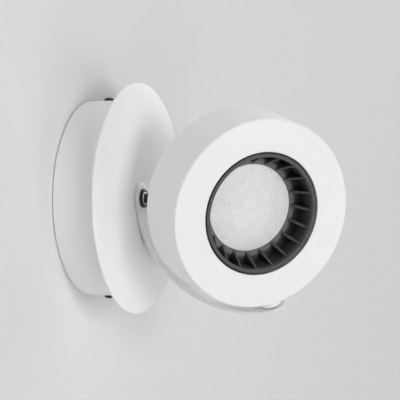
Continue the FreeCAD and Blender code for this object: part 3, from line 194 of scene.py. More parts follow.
class Shape:
    """A mesh that is being made, in millimetres, in its sub-assembly's frame."""

    def __init__(self, bm: bmesh.types.BMesh | None = None) -> None:
        """Starts from a bmesh, or from nothing."""
        self.bm = bm or bmesh.new()

    @classmethod
    def taken(cls, *objects: bpy.types.Object) -> "Shape":
        """An object's shape as it is evaluated. The objects are then gone.

        Args:
            *objects: the object, and others that were made for it.

        Returns:
            The shape.
        """
        graph = bpy.context.evaluated_depsgraph_get()
        mesh = bpy.data.meshes.new_from_object(objects[0].evaluated_get(graph))
        shape = cls()
        shape.bm.from_mesh(mesh)
        bpy.data.batch_remove([mesh, *objects, *(obj.data for obj in objects)])
        return shape

    @classmethod
    def turned(cls, outline: Outline, steps: int = LATHE_STEPS) -> "Shape":
        """A solid of revolution about z.

        Args:
            outline: closed outline as (radius, z) points.
            steps: facets round the axis.

        Returns:
            The turned shape, closed at the axis, its faces outwards.
        """
        shape = cls()
        verts = [shape.bm.verts.new((radius, 0.0, z)) for radius, z in outline]
        edges = [shape.bm.edges.new((a, b)) for a, b in zip(verts, verts[1:] + verts[:1])
                 if a.co.x > 0 or b.co.x > 0]
        bmesh.ops.spin(shape.bm, geom=verts + edges, cent=(0, 0, 0), axis=(0, 0, 1),
                       angle=math.tau, steps=steps, use_merge=True)
        return shape.healed()

    @classmethod
    def prism(cls, outline: Outline, thickness: float) -> "Shape":
        """A plate whose outline lies in the plane of x and z, centred on y = 0.

        Args:
            outline: closed outline as (x, z) points.
            thickness: the plate's size along y.

        Returns:
            The plate.
        """
        shape = cls()
        shape.bm.faces.new([shape.bm.verts.new((x, -thickness / 2, z)) for x, z in outline])
        return shape.thickened((0, thickness, 0)).healed()

    @classmethod
    def rod(cls, radius: float, low: float, high: float, sides: int) -> "Shape":
        """A bar along z with that many sides.

        Args:
            radius: to the corners.
            low: where it starts.
            high: where it ends.
            sides: how many flats it has.

        Returns:
            The bar.
        """
        shape = cls()
        middle = Matrix.Translation((0, 0, (low + high) / 2))
        bmesh.ops.create_cone(shape.bm, cap_ends=True, segments=sides, radius1=radius,
                              radius2=radius, depth=high - low, matrix=middle)
        return shape

    def thickened(self, way: tuple[float, float, float]) -> "Shape":
        """The same shape, a flat one, grown into a plate.

        Args:
            way: from its face to the plate's other face.

        Returns:
            The same shape.
        """
        grown = bmesh.ops.extrude_face_region(self.bm, geom=self.bm.faces[:], use_keep_orig=True)
        moved = [v for v in grown["geom"] if isinstance(v, bmesh.types.BMVert)]
        bmesh.ops.translate(self.bm, verts=moved, vec=way)
        return self

    def healed(self) -> "Shape":
        """Merges doubles and turns the faces outwards.

        Returns:
            The same shape.
        """
        bmesh.ops.remove_doubles(self.bm, verts=self.bm.verts[:], dist=WELD_DISTANCE)
        bmesh.ops.dissolve_degenerate(self.bm, edges=self.bm.edges[:], dist=WELD_DISTANCE)
        bmesh.ops.recalc_face_normals(self.bm, faces=self.bm.faces[:])
        return self

    def soften(self, width: float, segments: int = 2, sharper_than: float = 35.0,
               below: float = math.inf) -> "Shape":
        """Rounds the edges where faces meet at a sharp angle.

        Args:
            width: of the rounding.
            segments: facets across it.
            sharper_than: edges below this angle, in degrees, stay as they are.
            below: edges with a point above this height stay as they are.

        Returns:
            The same shape.
        """
        limit = math.radians(sharper_than)
        edges = [e for e in self.bm.edges if e.is_manifold and e.calc_face_angle(0.0) > limit
                 and max(v.co.z for v in e.verts) < below]
        bmesh.ops.bevel(self.bm, geom=edges, offset=width, offset_type="OFFSET", segments=segments,
                        profile=0.5, affect="EDGES", clamp_overlap=True, material=-1)
        return self

    def copy(self) -> "Shape":
        """A copy that can be changed by itself."""
        return Shape(self.bm.copy())

    def placed(self, matrix: Matrix) -> "Shape":
        """The same shape, moved by a matrix."""
        bmesh.ops.transform(self.bm, matrix=matrix, verts=self.bm.verts[:])
        return self

    def turned_about(self, degrees: float, axis: str = "Z") -> "Shape":
        """The same shape, turned about an axis of its frame."""
        return self.placed(Matrix.Rotation(math.radians(degrees), 4, axis))

    def shifted(self, x: float, y: float, z: float) -> "Shape":
        """The same shape, moved along."""
        return self.placed(Matrix.Translation((x, y, z)))

    def draft(self, name: str = "draft") -> bpy.types.Mesh:
        """The shape's mesh as it stands.

        Args:
            name: the mesh's name.

        Returns:
            The mesh.
        """
        mesh = bpy.data.meshes.new(name)
        self.bm.to_mesh(mesh)
        return mesh

    def with_shape(self, other: "Shape") -> "Shape":
        """The same shape, with a copy of another one beside it in the mesh.

        Args:
            other: the shape to add.

        Returns:
            The same shape.
        """
        mesh = other.draft()
        self.bm.from_mesh(mesh)
        bpy.data.meshes.remove(mesh)
        return self

    def carved(self, tool: "Shape", how: Carve = Carve.CUT) -> "Shape":
        """The shape cut by another or kept inside it.

        Args:
            tool: the other shape.
            how: what the tool does.

        Returns:
            The same shape, changed.
        """
        work, other = (shown("carve", shape.draft()) for shape in (self, tool))
        cut = work.modifiers.new("carve", "BOOLEAN")
        cut.object, cut.operation, cut.solver = other, how.value, "EXACT"
        self.bm = Shape.taken(work, other).bm
        return self

    def mesh(self, name: str, place: Matrix) -> bpy.types.Mesh:
        """The finished mesh, in metres in the row frame.

        Args:
            name: the mesh's name.
            place: the sub-assembly's frame.

        Returns:
            The mesh, shaded smooth except at its sharp edges.
        """
        mesh = self.draft(name)
        self.bm.free()
        mesh.transform(place)
        mesh.shade_smooth()
        mesh.set_sharp_from_angle(angle=math.radians(SMOOTH_BELOW_DEG))
        return mesh


# ---- node trees ----
class Network:
    """Writes the nodes of a tree."""

    def __init__(self, tree: bpy.types.NodeTree) -> None:
        """Takes up a tree."""
        self.tree = tree

    def feed(self, socket: Socket, value: object) -> None:
        """Gives a socket its value.

        Args:
            socket: the input.
            value: a plain value, or another node's output that is linked to it.
        """
        if isinstance(value, Socket):
            self.tree.links.new(value, socket)
        else:
            socket.default_value = value

    def add(self, kind: str, feeds: dict[str | int, object] | None = None,
            **settings: object) -> bpy.types.Node:
        """A new node.

        Args:
            kind: the node's type.
            feeds: values of its inputs, by name or number.
            **settings: its attributes.

        Returns:
            The node.
        """
        node = self.tree.nodes.new(kind)
        for key, value in settings.items():
            setattr(node, key, value)
        for key, value in (feeds or {}).items():
            self.feed(node.inputs[key], value)
        return node

    def math(self, operation: str, *values: object) -> Socket:
        """Values taken together by an operation, each plain or linked."""
        node = self.add("ShaderNodeMath", dict(enumerate(values)), operation=operation)
        return node.outputs["Value"]

    def span(self, value: Socket, low: float, high: float, start: float = 0.3,
             end: float = 0.7) -> Socket:
        """A value stretched from the span of start and end to that of low and high."""
        feeds = {"From Min": start, "From Max": end, "To Min": low, "To Max": high, "Value": value}
        return self.add("ShaderNodeMapRange", feeds).outputs["Result"]


class Paintwork(Network):
    """The nodes of a new material, round one principled shader."""

    def __init__(self, name: str) -> None:
        """Starts a material.

        Args:
            name: the material's name.
        """
        self.material = bpy.data.materials.new(name)
        self.material.use_nodes = True
        super().__init__(self.material.node_tree)
        self.tree.nodes.clear()
        self.output = self.add("ShaderNodeOutputMaterial")
        self.shader = self.add("ShaderNodeBsdfPrincipled")
        self.feed(self.output.inputs["Surface"], self.shader.outputs["BSDF"])
        self.place = self.add("ShaderNodeTexCoord").outputs["Object"]

    def coat(self, **feeds: object) -> None:
        """Feeds the shader's inputs, whose names are written with _ for a space."""
        for name, value in feeds.items():
            self.feed(self.shader.inputs[name.replace("_", " ")], value)

    def noise(self, size: float, detail: float = 3.0, stretch: Colour = (1, 1, 1)) -> Socket:
        """Soft patches of one size.

        Args:
            size: of the patches, in mm.
            detail: octaves of finer patches on them.
            stretch: how much longer they are along each axis.

        Returns:
            The patches' height, from 0 to 1.
        """
        vector = self.place
        if stretch != (1, 1, 1):
            feeds = {"Scale": stretch, "Vector": vector}
            node = self.add("ShaderNodeMapping", feeds, vector_type="TEXTURE")
            vector = node.outputs["Vector"]
        feeds = {"Scale": 1 / (size * MM), "Detail": detail, "Vector": vector}
        return self.add("ShaderNodeTexNoise", feeds).outputs["Fac"]

    def shades(self, value: Socket, light: Colour, dark: Colour, start: float = 0.3,
               end: float = 0.7) -> Socket:
        """A colour that goes from light to dark with a value.

        Args:
            value: what it follows.
            light: the colour at the start.
            dark: the colour at the end.
            start: the value's start.
            end: the value's end.

        Returns:
            The colour.
        """
        node = self.add("ShaderNodeValToRGB", {"Fac": value})
        for stop, place, colour in zip(node.color_ramp.elements, (start, end), (light, dark)):
            stop.position, stop.color = place, (*colour, 1)
        return node.outputs["Color"]

    def mixed(self, share: object, first: object, second: object, blend: str = "MIX") -> Socket:
        """Two colours mixed, with that share of the second."""
        node = self.add("ShaderNodeMix", {"Factor": share, "A": first, "B": second},
                        data_type="RGBA", blend_type=blend)
        return node.outputs["Result"]

    def relief(self, height: Socket, depth: float, below: Socket | None = None) -> Socket:
        """A bumped surface.

        Args:
            height: the pattern.
            depth: its height in mm.
            below: another bumped surface that this one lies on.

        Returns:
            The surface's normal.
        """
        feeds = {"Strength": 1.0, "Distance": depth * MM, "Height": height}
        feeds |= {} if below is None else {"Normal": below}
        return self.add("ShaderNodeBump", feeds).outputs["Normal"]


# ---- finishes ----
@dataclass(frozen=True)
class Grain:
    """A variation over a surface, in patches of one size."""

    size: float  # of its patches, in mm
    colour: float = 0.0  # how far the colour goes down in its dark patches, as a share
    roughness: float = 0.0  # how far the roughness goes up there
    height: float = 0.0  # of its relief, in mm


@dataclass(frozen=True)
class Layer:
    """Relief above or below a finish's fine grain, in patches of one size."""

    size: float  # of its patches, in mm
    height: float  # its depth, in mm
    detail: float = 1.0  # octaves of finer patches on them
    drawn: Colour = (1, 1, 1)  # how much longer they are along each axis


@dataclass(frozen=True)
class Finish:
    """What every finish has, and the plain way to make it."""

    slot: Slot  # the record's slot that it fills
    colour: Colour  # linear red, green and blue
    roughness: float  # of its smooth patches
    metallic: float = 0.0  # 1 for bare metal
    fine: Grain = Grain(0.4)  # seen close up
    broad: Grain = Grain(30.0)  # slow, over the whole piece
    clear: float = 0.0  # strength of a clear layer on top
    see_under: float = 0.0  # share of light that goes under the surface and comes out again
    below: Layer | None = None  # relief under the fine grain
    above: Layer | None = None  # relief on the fine grain

    def darker(self, share: float) -> Colour:
        """The colour, down by a share."""
        red, green, blue = (part * (1 - share) for part in self.colour)
        return red, green, blue

    def material(self) -> bpy.types.Material:
        """The finish as a material.

        Returns:
            The material.
        """
        net = Paintwork(self.slot.value + "_finish")
        net.coat(Metallic=self.metallic, Coat_Weight=self.clear, Subsurface_Weight=self.see_under,
                 Subsurface_Scale=MM)
        self.dress(net)
        return net.material

    def dress(self, net: Paintwork) -> None:
        """Writes the patterns that this kind of finish has.

        Args:
            net: the material's nodes.
        """
        broad, fine = net.noise(self.broad.size), net.noise(self.fine.size, 2.0)
        slow = net.shades(broad, self.colour, self.darker(self.broad.colour))
        quick = net.shades(fine, grey(1), grey(1 - self.fine.colour))
        smooth = self.roughness
        rough = net.math("ADD", net.span(broad, smooth, smooth + self.broad.roughness),
                         net.span(fine, 0.0, self.fine.roughness))
        net.coat(Base_Color=net.mixed(1.0, slow, quick, "MULTIPLY"), Roughness=rough)
        normal = None
        for layer in (self.below, Layer(self.fine.size, self.fine.height, 2.0), self.above):
            if layer is not None and layer.height:
                marks = net.noise(layer.size, layer.detail, layer.drawn)
                normal = net.relief(marks, layer.height, normal)
                net.coat(Normal=normal)


@dataclass(frozen=True)
class PowderPaint(Finish):
    """Sprayed and baked paint: a faint orange peel, with pinprick grain on it."""

    below: Layer | None = Layer(1.6, 0.004)


@dataclass(frozen=True)
class FrostedPlastic(Finish):
    """Opal plastic with a sandy face, as a lens has that hides its light source."""

    above: Layer | None = Layer(0.8, 0.07, 4.0)


@dataclass(frozen=True)
class Jacket(Finish):
    """Soft plastic jacket of a lead, with faint marks from the die."""

    above: Layer | None = Layer(0.5, 0.02, 1.0, (1, 30, 1))


@dataclass(frozen=True)
class DrawnMetal(Finish):
    """Metal with marks drawn out one way, as a turned, rolled or brushed surface has."""

    drawn: float = 18.0  # how much longer a mark is than wide

    def dress(self, net: Paintwork) -> None:
        """Adds the drawn marks to roughness and relief.

        Args:
            net: the material's nodes.
        """
        super().dress(net)
        marks = net.noise(self.fine.size, 2.0, (self.drawn, 1, 1))
        net.coat(Roughness=net.span(marks, self.roughness, self.roughness + self.fine.roughness),
                 Normal=net.relief(marks, self.fine.height))


@dataclass(frozen=True)
class Recess:
    """Where the bezel gets painted shade in its pockets and painted light by the lens; mm, head's
    frame.
    """

    frame: Matrix  # the head's frame
    toe: tuple[float, float] = (27.0, 2.1)  # start of a fin's top edge: radius and height
    top: tuple[float, float] = (33.95, 16.8)  # its end
    depths: tuple[float, float] = (0.6, 3.0)  # below that edge, from no painted shade to full painted shade
    radii: tuple[float, float] = (29.6, 31.8)  # of the floor, from no painted shade to full painted shade
    lip: tuple[float, float] = (16.9, 17.7)  # heights, from painted shade to the lip, which gets none
    painted_light_r: tuple[float, float] = (29.0, 30.2)  # of the floor, from full painted light to none
    painted_light_z: tuple[float, float] = (2.8, 3.2)  # heights, from full painted light to none

    def shades(self, net: Paintwork) -> tuple[Socket, Socket]:
        """How much painted shade a point gets in a pocket, and how much painted light beside the
        lens.

        Args:
            net: the material's nodes.

        Returns:
            Painted shade: 0 on the lip, the fins' top edges and the floor beside the lens, 1 deep
                in
            a pocket. Painted light: 1 on the floor beside the lens, and 0 elsewhere.
        """
        feeds = {"Location": self.frame.to_translation(), "Rotation": self.frame.to_euler(),
                 "Scale": (MM, MM, MM), "Vector": net.place}
        place = net.add("ShaderNodeMapping", feeds, vector_type="TEXTURE").outputs["Vector"]
        height = net.add("ShaderNodeSeparateXYZ", {"Vector": place}).outputs["Z"]
        flat = net.add("ShaderNodeVectorMath", {0: place, 1: (1, 1, 0)}, operation="MULTIPLY")
        length = net.add("ShaderNodeVectorMath", {0: flat.outputs["Vector"]}, operation="LENGTH")
        radius = length.outputs["Value"]
        slope = (self.top[1] - self.toe[1]) / (self.top[0] - self.toe[0])
        edge = net.math("MULTIPLY_ADD", radius, slope, self.toe[1] - slope * self.toe[0])
        depth = net.span(net.math("SUBTRACT", edge, height), 0, 1, *self.depths)
        under = net.math("MINIMUM", depth, net.span(radius, 0, 1, *self.radii))
        # painted shade mask: darker deep in a pocket, none on the lip and fin tops
        painted_shade = net.math("MULTIPLY", under, net.span(height, 1, 0, *self.lip))
        # returned: the painted shade mask, then the painted light mask for the floor beside the
        # lens
        return painted_shade, net.math("MULTIPLY", net.span(radius, 1, 0, *self.painted_light_r),
                                net.span(height, 1, 0, *self.painted_light_z))


@dataclass(frozen=True)
class CastCoat(Finish):
    """Textured coat on a casting: pits and specks, painted light beside the lens, painted shade in
    pockets.
    """

    speck_size: float = 0.9  # distance between specks, in mm
    speck: float = 0.35  # how far a speck goes above the colour
    speck_span: tuple[float, float] = (0.05, 0.45)  # a speck's middle and edge
    painted_shade: Colour = (0.01, 0.01, 0.01)  # colour of the painted shade, deep in a pocket
    painted_light: Colour = (0.17, 0.17, 0.17)  # colour of the painted light, on the floor beside the lens
    recess: Recess | None = None  # where the painted shade and painted light go

    def dress(self, net: Paintwork) -> None:
        """Adds the specks, the pits, and the painted shade and painted light of the pockets.

        Args:
            net: the material's nodes.
        """
        super().dress(net)
        feeds = {"Scale": 1 / (self.speck_size * MM), "Vector": net.place}
        cells = net.add("ShaderNodeTexVoronoi", feeds, feature="F1").outputs["Distance"]
        coat = net.shades(cells, self.darker(-self.speck), self.darker(self.fine.colour),
                          *self.speck_span)
        # painted shade deep in the pockets, then painted light on the floor beside the lens
        if self.recess is not None:
            for share, colour in zip(self.recess.shades(net), (self.painted_shade, self.painted_light)):
                coat = net.mixed(share, coat, (*colour, 1))
        pits = net.relief(cells, self.fine.height)
        net.coat(Base_Color=coat,
                 Normal=net.relief(net.noise(self.fine.size, 2.0), self.fine.height, pits))


def grey(level: float) -> Colour:
    """A neutral colour of that linear level."""
    return level, level, level


def finishes(pockets: Recess) -> dict[Slot, Finish]:
    """All finishes of the lamp.

    Args:
        pockets: where the bezel's pockets get painted shade and painted light.

    Returns:
        One finish for each slot of the record.
    """
    made = [
        PowderPaint(Slot.WHITE_PAINT, (0.87, 0.87, 0.865), 0.38,
                    fine=Grain(0.35, 0.01, 0.06, 0.0012), broad=Grain(38.0, 0.015, 0.05)),
        PowderPaint(Slot.ARM_PAINT, (0.80, 0.80, 0.795), 0.3,
                    fine=Grain(0.35, 0.01, 0.06, 0.0012), broad=Grain(26.0, 0.02, 0.06)),
        DrawnMetal(Slot.BLACK_STEEL, grey(0.022), 0.34, 0.35,
                   Grain(0.25, 0.3, 0.16, 0.004), Grain(5.0, 0.2, 0.1)),
        DrawnMetal(Slot.ZINC_STEEL, (0.52, 0.53, 0.55), 0.3, 1.0,
                   Grain(0.22, 0.1, 0.2, 0.003), Grain(7.0, 0.18, 0.12)),
        DrawnMetal(Slot.PLATED_TUBE, (0.62, 0.62, 0.61), 0.22, 1.0,
                   Grain(0.16, 0.08, 0.14, 0.002), Grain(4.0, 0.12, 0.08)),
        DrawnMetal(Slot.BRASS, (0.64, 0.47, 0.19), 0.3, 1.0,
                   Grain(0.2, 0.1, 0.15, 0.002), Grain(4.0, 0.2, 0.1)),
        Finish(Slot.BLACK_RUBBER, grey(0.018), 0.62,
               fine=Grain(0.3, 0.25, 0.12, 0.01), broad=Grain(6.0, 0.2, 0.1)),
        Jacket(Slot.BLACK_LEAD, grey(0.016), 0.42,
               fine=Grain(0.3, 0.2, 0.1, 0.006), broad=Grain(9.0, 0.2, 0.1)),
        # the bezel's colour gets painted shade in its pockets and painted light beside the lens
        CastCoat(Slot.BEZEL_GREY, grey(0.082), 0.5, 0.1,
                 Grain(0.3, 0.25, 0.12, 0.012), Grain(12.0, 0.1, 0.08), recess=pockets),
        FrostedPlastic(Slot.FROSTED_LENS, grey(0.93), 0.5, fine=Grain(1.1, 0.13, 0.1),
                       broad=Grain(6.0, 0.06, 0.05), see_under=0.15),
        Finish(Slot.WHITE_PLASTIC, (0.74, 0.74, 0.72), 0.45, fine=Grain(0.5, 0.03, 0.08, 0.006),
               broad=Grain(9.0, 0.05, 0.06), see_under=0.15),
        Finish(Slot.BOARD_WHITE, (0.72, 0.73, 0.72), 0.3, fine=Grain(0.2, 0.03, 0.06, 0.002),
               broad=Grain(8.0, 0.04, 0.06), clear=0.2),
        Finish(Slot.CHIP_YELLOW, (0.72, 0.56, 0.10), 0.35, fine=Grain(0.15, 0.12, 0.1, 0.004),
               broad=Grain(1.2, 0.15, 0.1), see_under=0.2),
        Finish(Slot.PAD_GREY, (0.30, 0.31, 0.33), 0.8,
               fine=Grain(0.3, 0.15, 0.1, 0.01), broad=Grain(6.0, 0.1, 0.05)),
        DrawnMetal(Slot.SINK_ALUMINIUM, (0.66, 0.67, 0.68), 0.34, 1.0,
                   Grain(0.22, 0.08, 0.16, 0.004), Grain(12.0, 0.08, 0.08)),
        Finish(Slot.FIBRE_BLACK, grey(0.03), 0.78,
               fine=Grain(0.18, 0.3, 0.1, 0.012), broad=Grain(3.0, 0.2, 0.08)),
        Jacket(Slot.CORE_INSULATION, (0.24, 0.12, 0.06), 0.4,
               fine=Grain(0.25, 0.15, 0.1, 0.004), broad=Grain(5.0, 0.15, 0.08)),
    ]
    return {finish.slot: finish for finish in made}


# ---- making pieces ----
class Workshop:
    """Turns meshes into pieces that ride on the frame, and dresses the frame's own nodes."""

    def __init__(self, pose: RestPose) -> None:
        """Gets the finishes and frames ready.

        Args:
            pose: the joints' angles at rest.
        """
        self.frames = {Body.ROSE: pose.rose(), Body.ARM: pose.arm(), Body.HEAD: pose.head()}
        made = finishes(Recess(pose.head()))
        self.materials = {slot: finish.material() for slot, finish in made.items()}
        self.replaced: set[str] = set()
        self.smoothing = self.smoothing_group()

    def smoothing_group(self) -> bpy.types.NodeTree:
        """The node group that shades a frame node smooth except at its sharp edges.

        Returns:
            The node group.
        """
        tree = bpy.data.node_groups.new("smooth_below_angle", "GeometryNodeTree")
        for way in ("INPUT", "OUTPUT"):
            tree.interface.new_socket("Geometry", in_out=way, socket_type="NodeSocketGeometry")
        net = Network(tree)
        start, end = net.add("NodeGroupInput"), net.add("NodeGroupOutput")
        angle = net.add("GeometryNodeInputMeshEdgeAngle").outputs["Unsigned Angle"]
        sharp = net.add("FunctionNodeCompare", {0: angle, 1: math.radians(SMOOTH_BELOW_DEG)},
                        data_type="FLOAT", operation="GREATER_THAN")
        faces = net.add("GeometryNodeSetShadeSmooth", {"Geometry": start.outputs[0]})
        feeds = {"Geometry": faces.outputs["Geometry"], "Selection": sharp.outputs["Result"],
                 "Shade Smooth": False}
        edges = net.add("GeometryNodeSetShadeSmooth", feeds, domain="EDGE")
        net.feed(end.inputs[0], edges.outputs["Geometry"])
        return tree

    def piece(self, name: str, shape: Shape, body: Body, slot: Slot, *nodes: str,
              rides: bool = True) -> bpy.types.Object:
        """Makes a finished piece in place of some of the frame's nodes, and logs it.

        Args:
            name: the piece's name.
            shape: its shape, in the body's frame.
            body: the body that it belongs to.
            slot: its finish.
            *nodes: the frame's nodes that it stands for.
            rides: whether all of it rides on that body.

        Returns:
            The piece.
        """
        obj = shown(name, shape.mesh(name, self.frames[body]))
        obj.data.materials.append(self.materials[slot])
        if rides:
            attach(obj, body.value)
        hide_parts(*nodes)
        self.replaced.update(nodes)
        log.info("%s: %d faces, for %s", name, len(obj.data.polygons), ", ".join(nodes))
        return obj

    def dress_nodes(self) -> None:
        """Gives each frame node that stays its finish and smooth shading."""
        entries = frame["record"]["subparts"]
        slots = {entry["node"]: Slot(entry["material_slot"]) for entry in entries}
        for name, node in frame["nodes"].items():
            if name in self.replaced:
                continue
            node.data.materials.clear()
            node.data.materials.append(self.materials[slots[name]])
            weld = node.modifiers.new("weld", "WELD")
            weld.merge_threshold = WELD_DISTANCE * MM
            smooth = node.modifiers.new("smooth", "NODES")
            smooth.node_group = self.smoothing
            log.info("%s: kept, %s", name, slots[name].value)


@dataclass(frozen=True)
class Fastener:
    """A screw with a domed head and a hexagon socket, its head's underside at z = 0. mm."""

    shank_d: float
    head_d: float
    head_h: float
    length: float  # of the shank
    socket_af: float  # across the socket's flats
    socket_depth: float
    pitch: float = 0.7  # of the thread
    dome: float = 0.55  # of the head's height, that is domed
    dome_steps: int = 8  # stretches from the dome's rim to its top
    edge: float = 0.15
    round_r: float = 0.12
    chamfer: float = 0.2  # height of the chamfer at the shank's end

    def shape(self) -> Shape:
        """The screw.

        Returns:
            The head with its socket and edge roundings, and the threaded shank.
        """
        radius = self.head_d / 2
        rise = self.head_h * self.dome
        sphere = (radius ** 2 + rise ** 2) / (2 * rise)
        crown = [(r, self.head_h - sphere + math.sqrt(sphere ** 2 - r ** 2))
                 for r in (radius * (1 - i / self.dome_steps) for i in range(self.dome_steps + 1))]
        outline = [(0, 0), (radius - self.edge, 0), (radius, self.edge)] + crown
        head = Shape.turned(outline, SMALL_STEPS).soften(self.round_r)
        head.carved(Shape.rod(self.socket_af / math.sqrt(3), self.head_h - self.socket_depth,
                              self.head_h + PAST, HEXAGON))
        crest, depth, low = self.shank_d / 2, self.pitch * THREAD_DEPTH, -self.length
        core, start = crest - depth * 0.9, low + self.chamfer
        shank = Shape.turned([(0, low), (crest - depth, low), (core, start), (core, 0.0), (0, 0.0)],
                             THREAD_STEPS)
        return head.with_shape(shank.with_shape(ridge(crest, start, 0.0, self.pitch)))


def ridge(radius: float, low: float, high: float, pitch: float) -> Shape:
    """The wound ridge of a thread.

    Args:
        radius: to its crest.
        low: where it starts.
        high: where it ends.
        pitch: from crest to crest.

    Returns:
        The ridge alone.
    """
    root = radius - pitch * THREAD_DEPTH
    profile = ((root, 0.0), (radius, 0.42), (radius, 0.52), (root, 0.94))
    shape = Shape()
    verts = [shape.bm.verts.new((r, 0, low + pitch * share)) for r, share in profile]
    edges = [shape.bm.edges.new((a, b)) for a, b in zip(verts, verts[1:])]
    turns = max(1.0, (high - low) / pitch - 1)
    steps = round(THREAD_STEPS * turns)
    bmesh.ops.spin(shape.bm, geom=verts + edges, cent=(0, 0, 0), axis=(0, 0, 1),
                   dvec=(0, 0, (high - low - pitch) / steps), angle=math.tau * turns, steps=steps)
    bmesh.ops.holes_fill(shape.bm, edges=shape.bm.edges[:], sides=4)
    return shape.healed()


# ---- rose ----
@dataclass
class Rose:
    """The round wall plate's larger front disc and its side screws. Sizes in mm."""

    shop: Workshop
    cup_d: float = 118.0
    cup_depth: float = 29.0  # wall to the cup's front
    disc_d: float = 139.0
    disc_t: float = 1.5
    disc_edge_r: float = 0.55
    pivot_bore_r: float = 4.05  # hole for the pivot tube
    bore_edge: float = 0.2
    screw_out: float = 10.5  # the side screws' height above the wall
    side_screw: Fastener = Fastener(shank_d=3.0, head_d=6.0, head_h=2.0, length=8.0,
                                    socket_af=2.0, socket_depth=1.1)

    def front_disc(self) -> None:
        """The thin disc with its rounded rim."""
        back, front = self.cup_depth, self.cup_depth + self.disc_t
        edge, bore = self.disc_edge_r, self.pivot_bore_r
        rim = self.disc_d / 2 - edge
        outline = [(bore, back)] + arc((rim, back + edge), edge, -90, 0)
        outline += arc((rim, front - edge), edge, 0, 90)
        outline += [(bore + self.bore_edge, front), (bore, front - self.bore_edge)]
        self.shop.piece("front_disc_turned", Shape.turned(outline, RIM_STEPS), Body.ROSE,
                        Slot.WHITE_PAINT, "front_disc")

    def side_screws(self) -> None:
        """The two dark screws in the cup's side wall."""
        radius = self.cup_d / 2
        both = self.side_screw.shape().turned_about(-90, "X").shifted(0, radius, self.screw_out)
        low = self.side_screw.shape().turned_about(90, "X").shifted(0, -radius, self.screw_out)
        self.shop.piece("side_screws_threaded", both.with_shape(low), Body.ROSE, Slot.BLACK_STEEL,
                        "side_screws")

    def build(self) -> None:
        """Builds the rose's new pieces."""
        self.front_disc()
        self.side_screws()


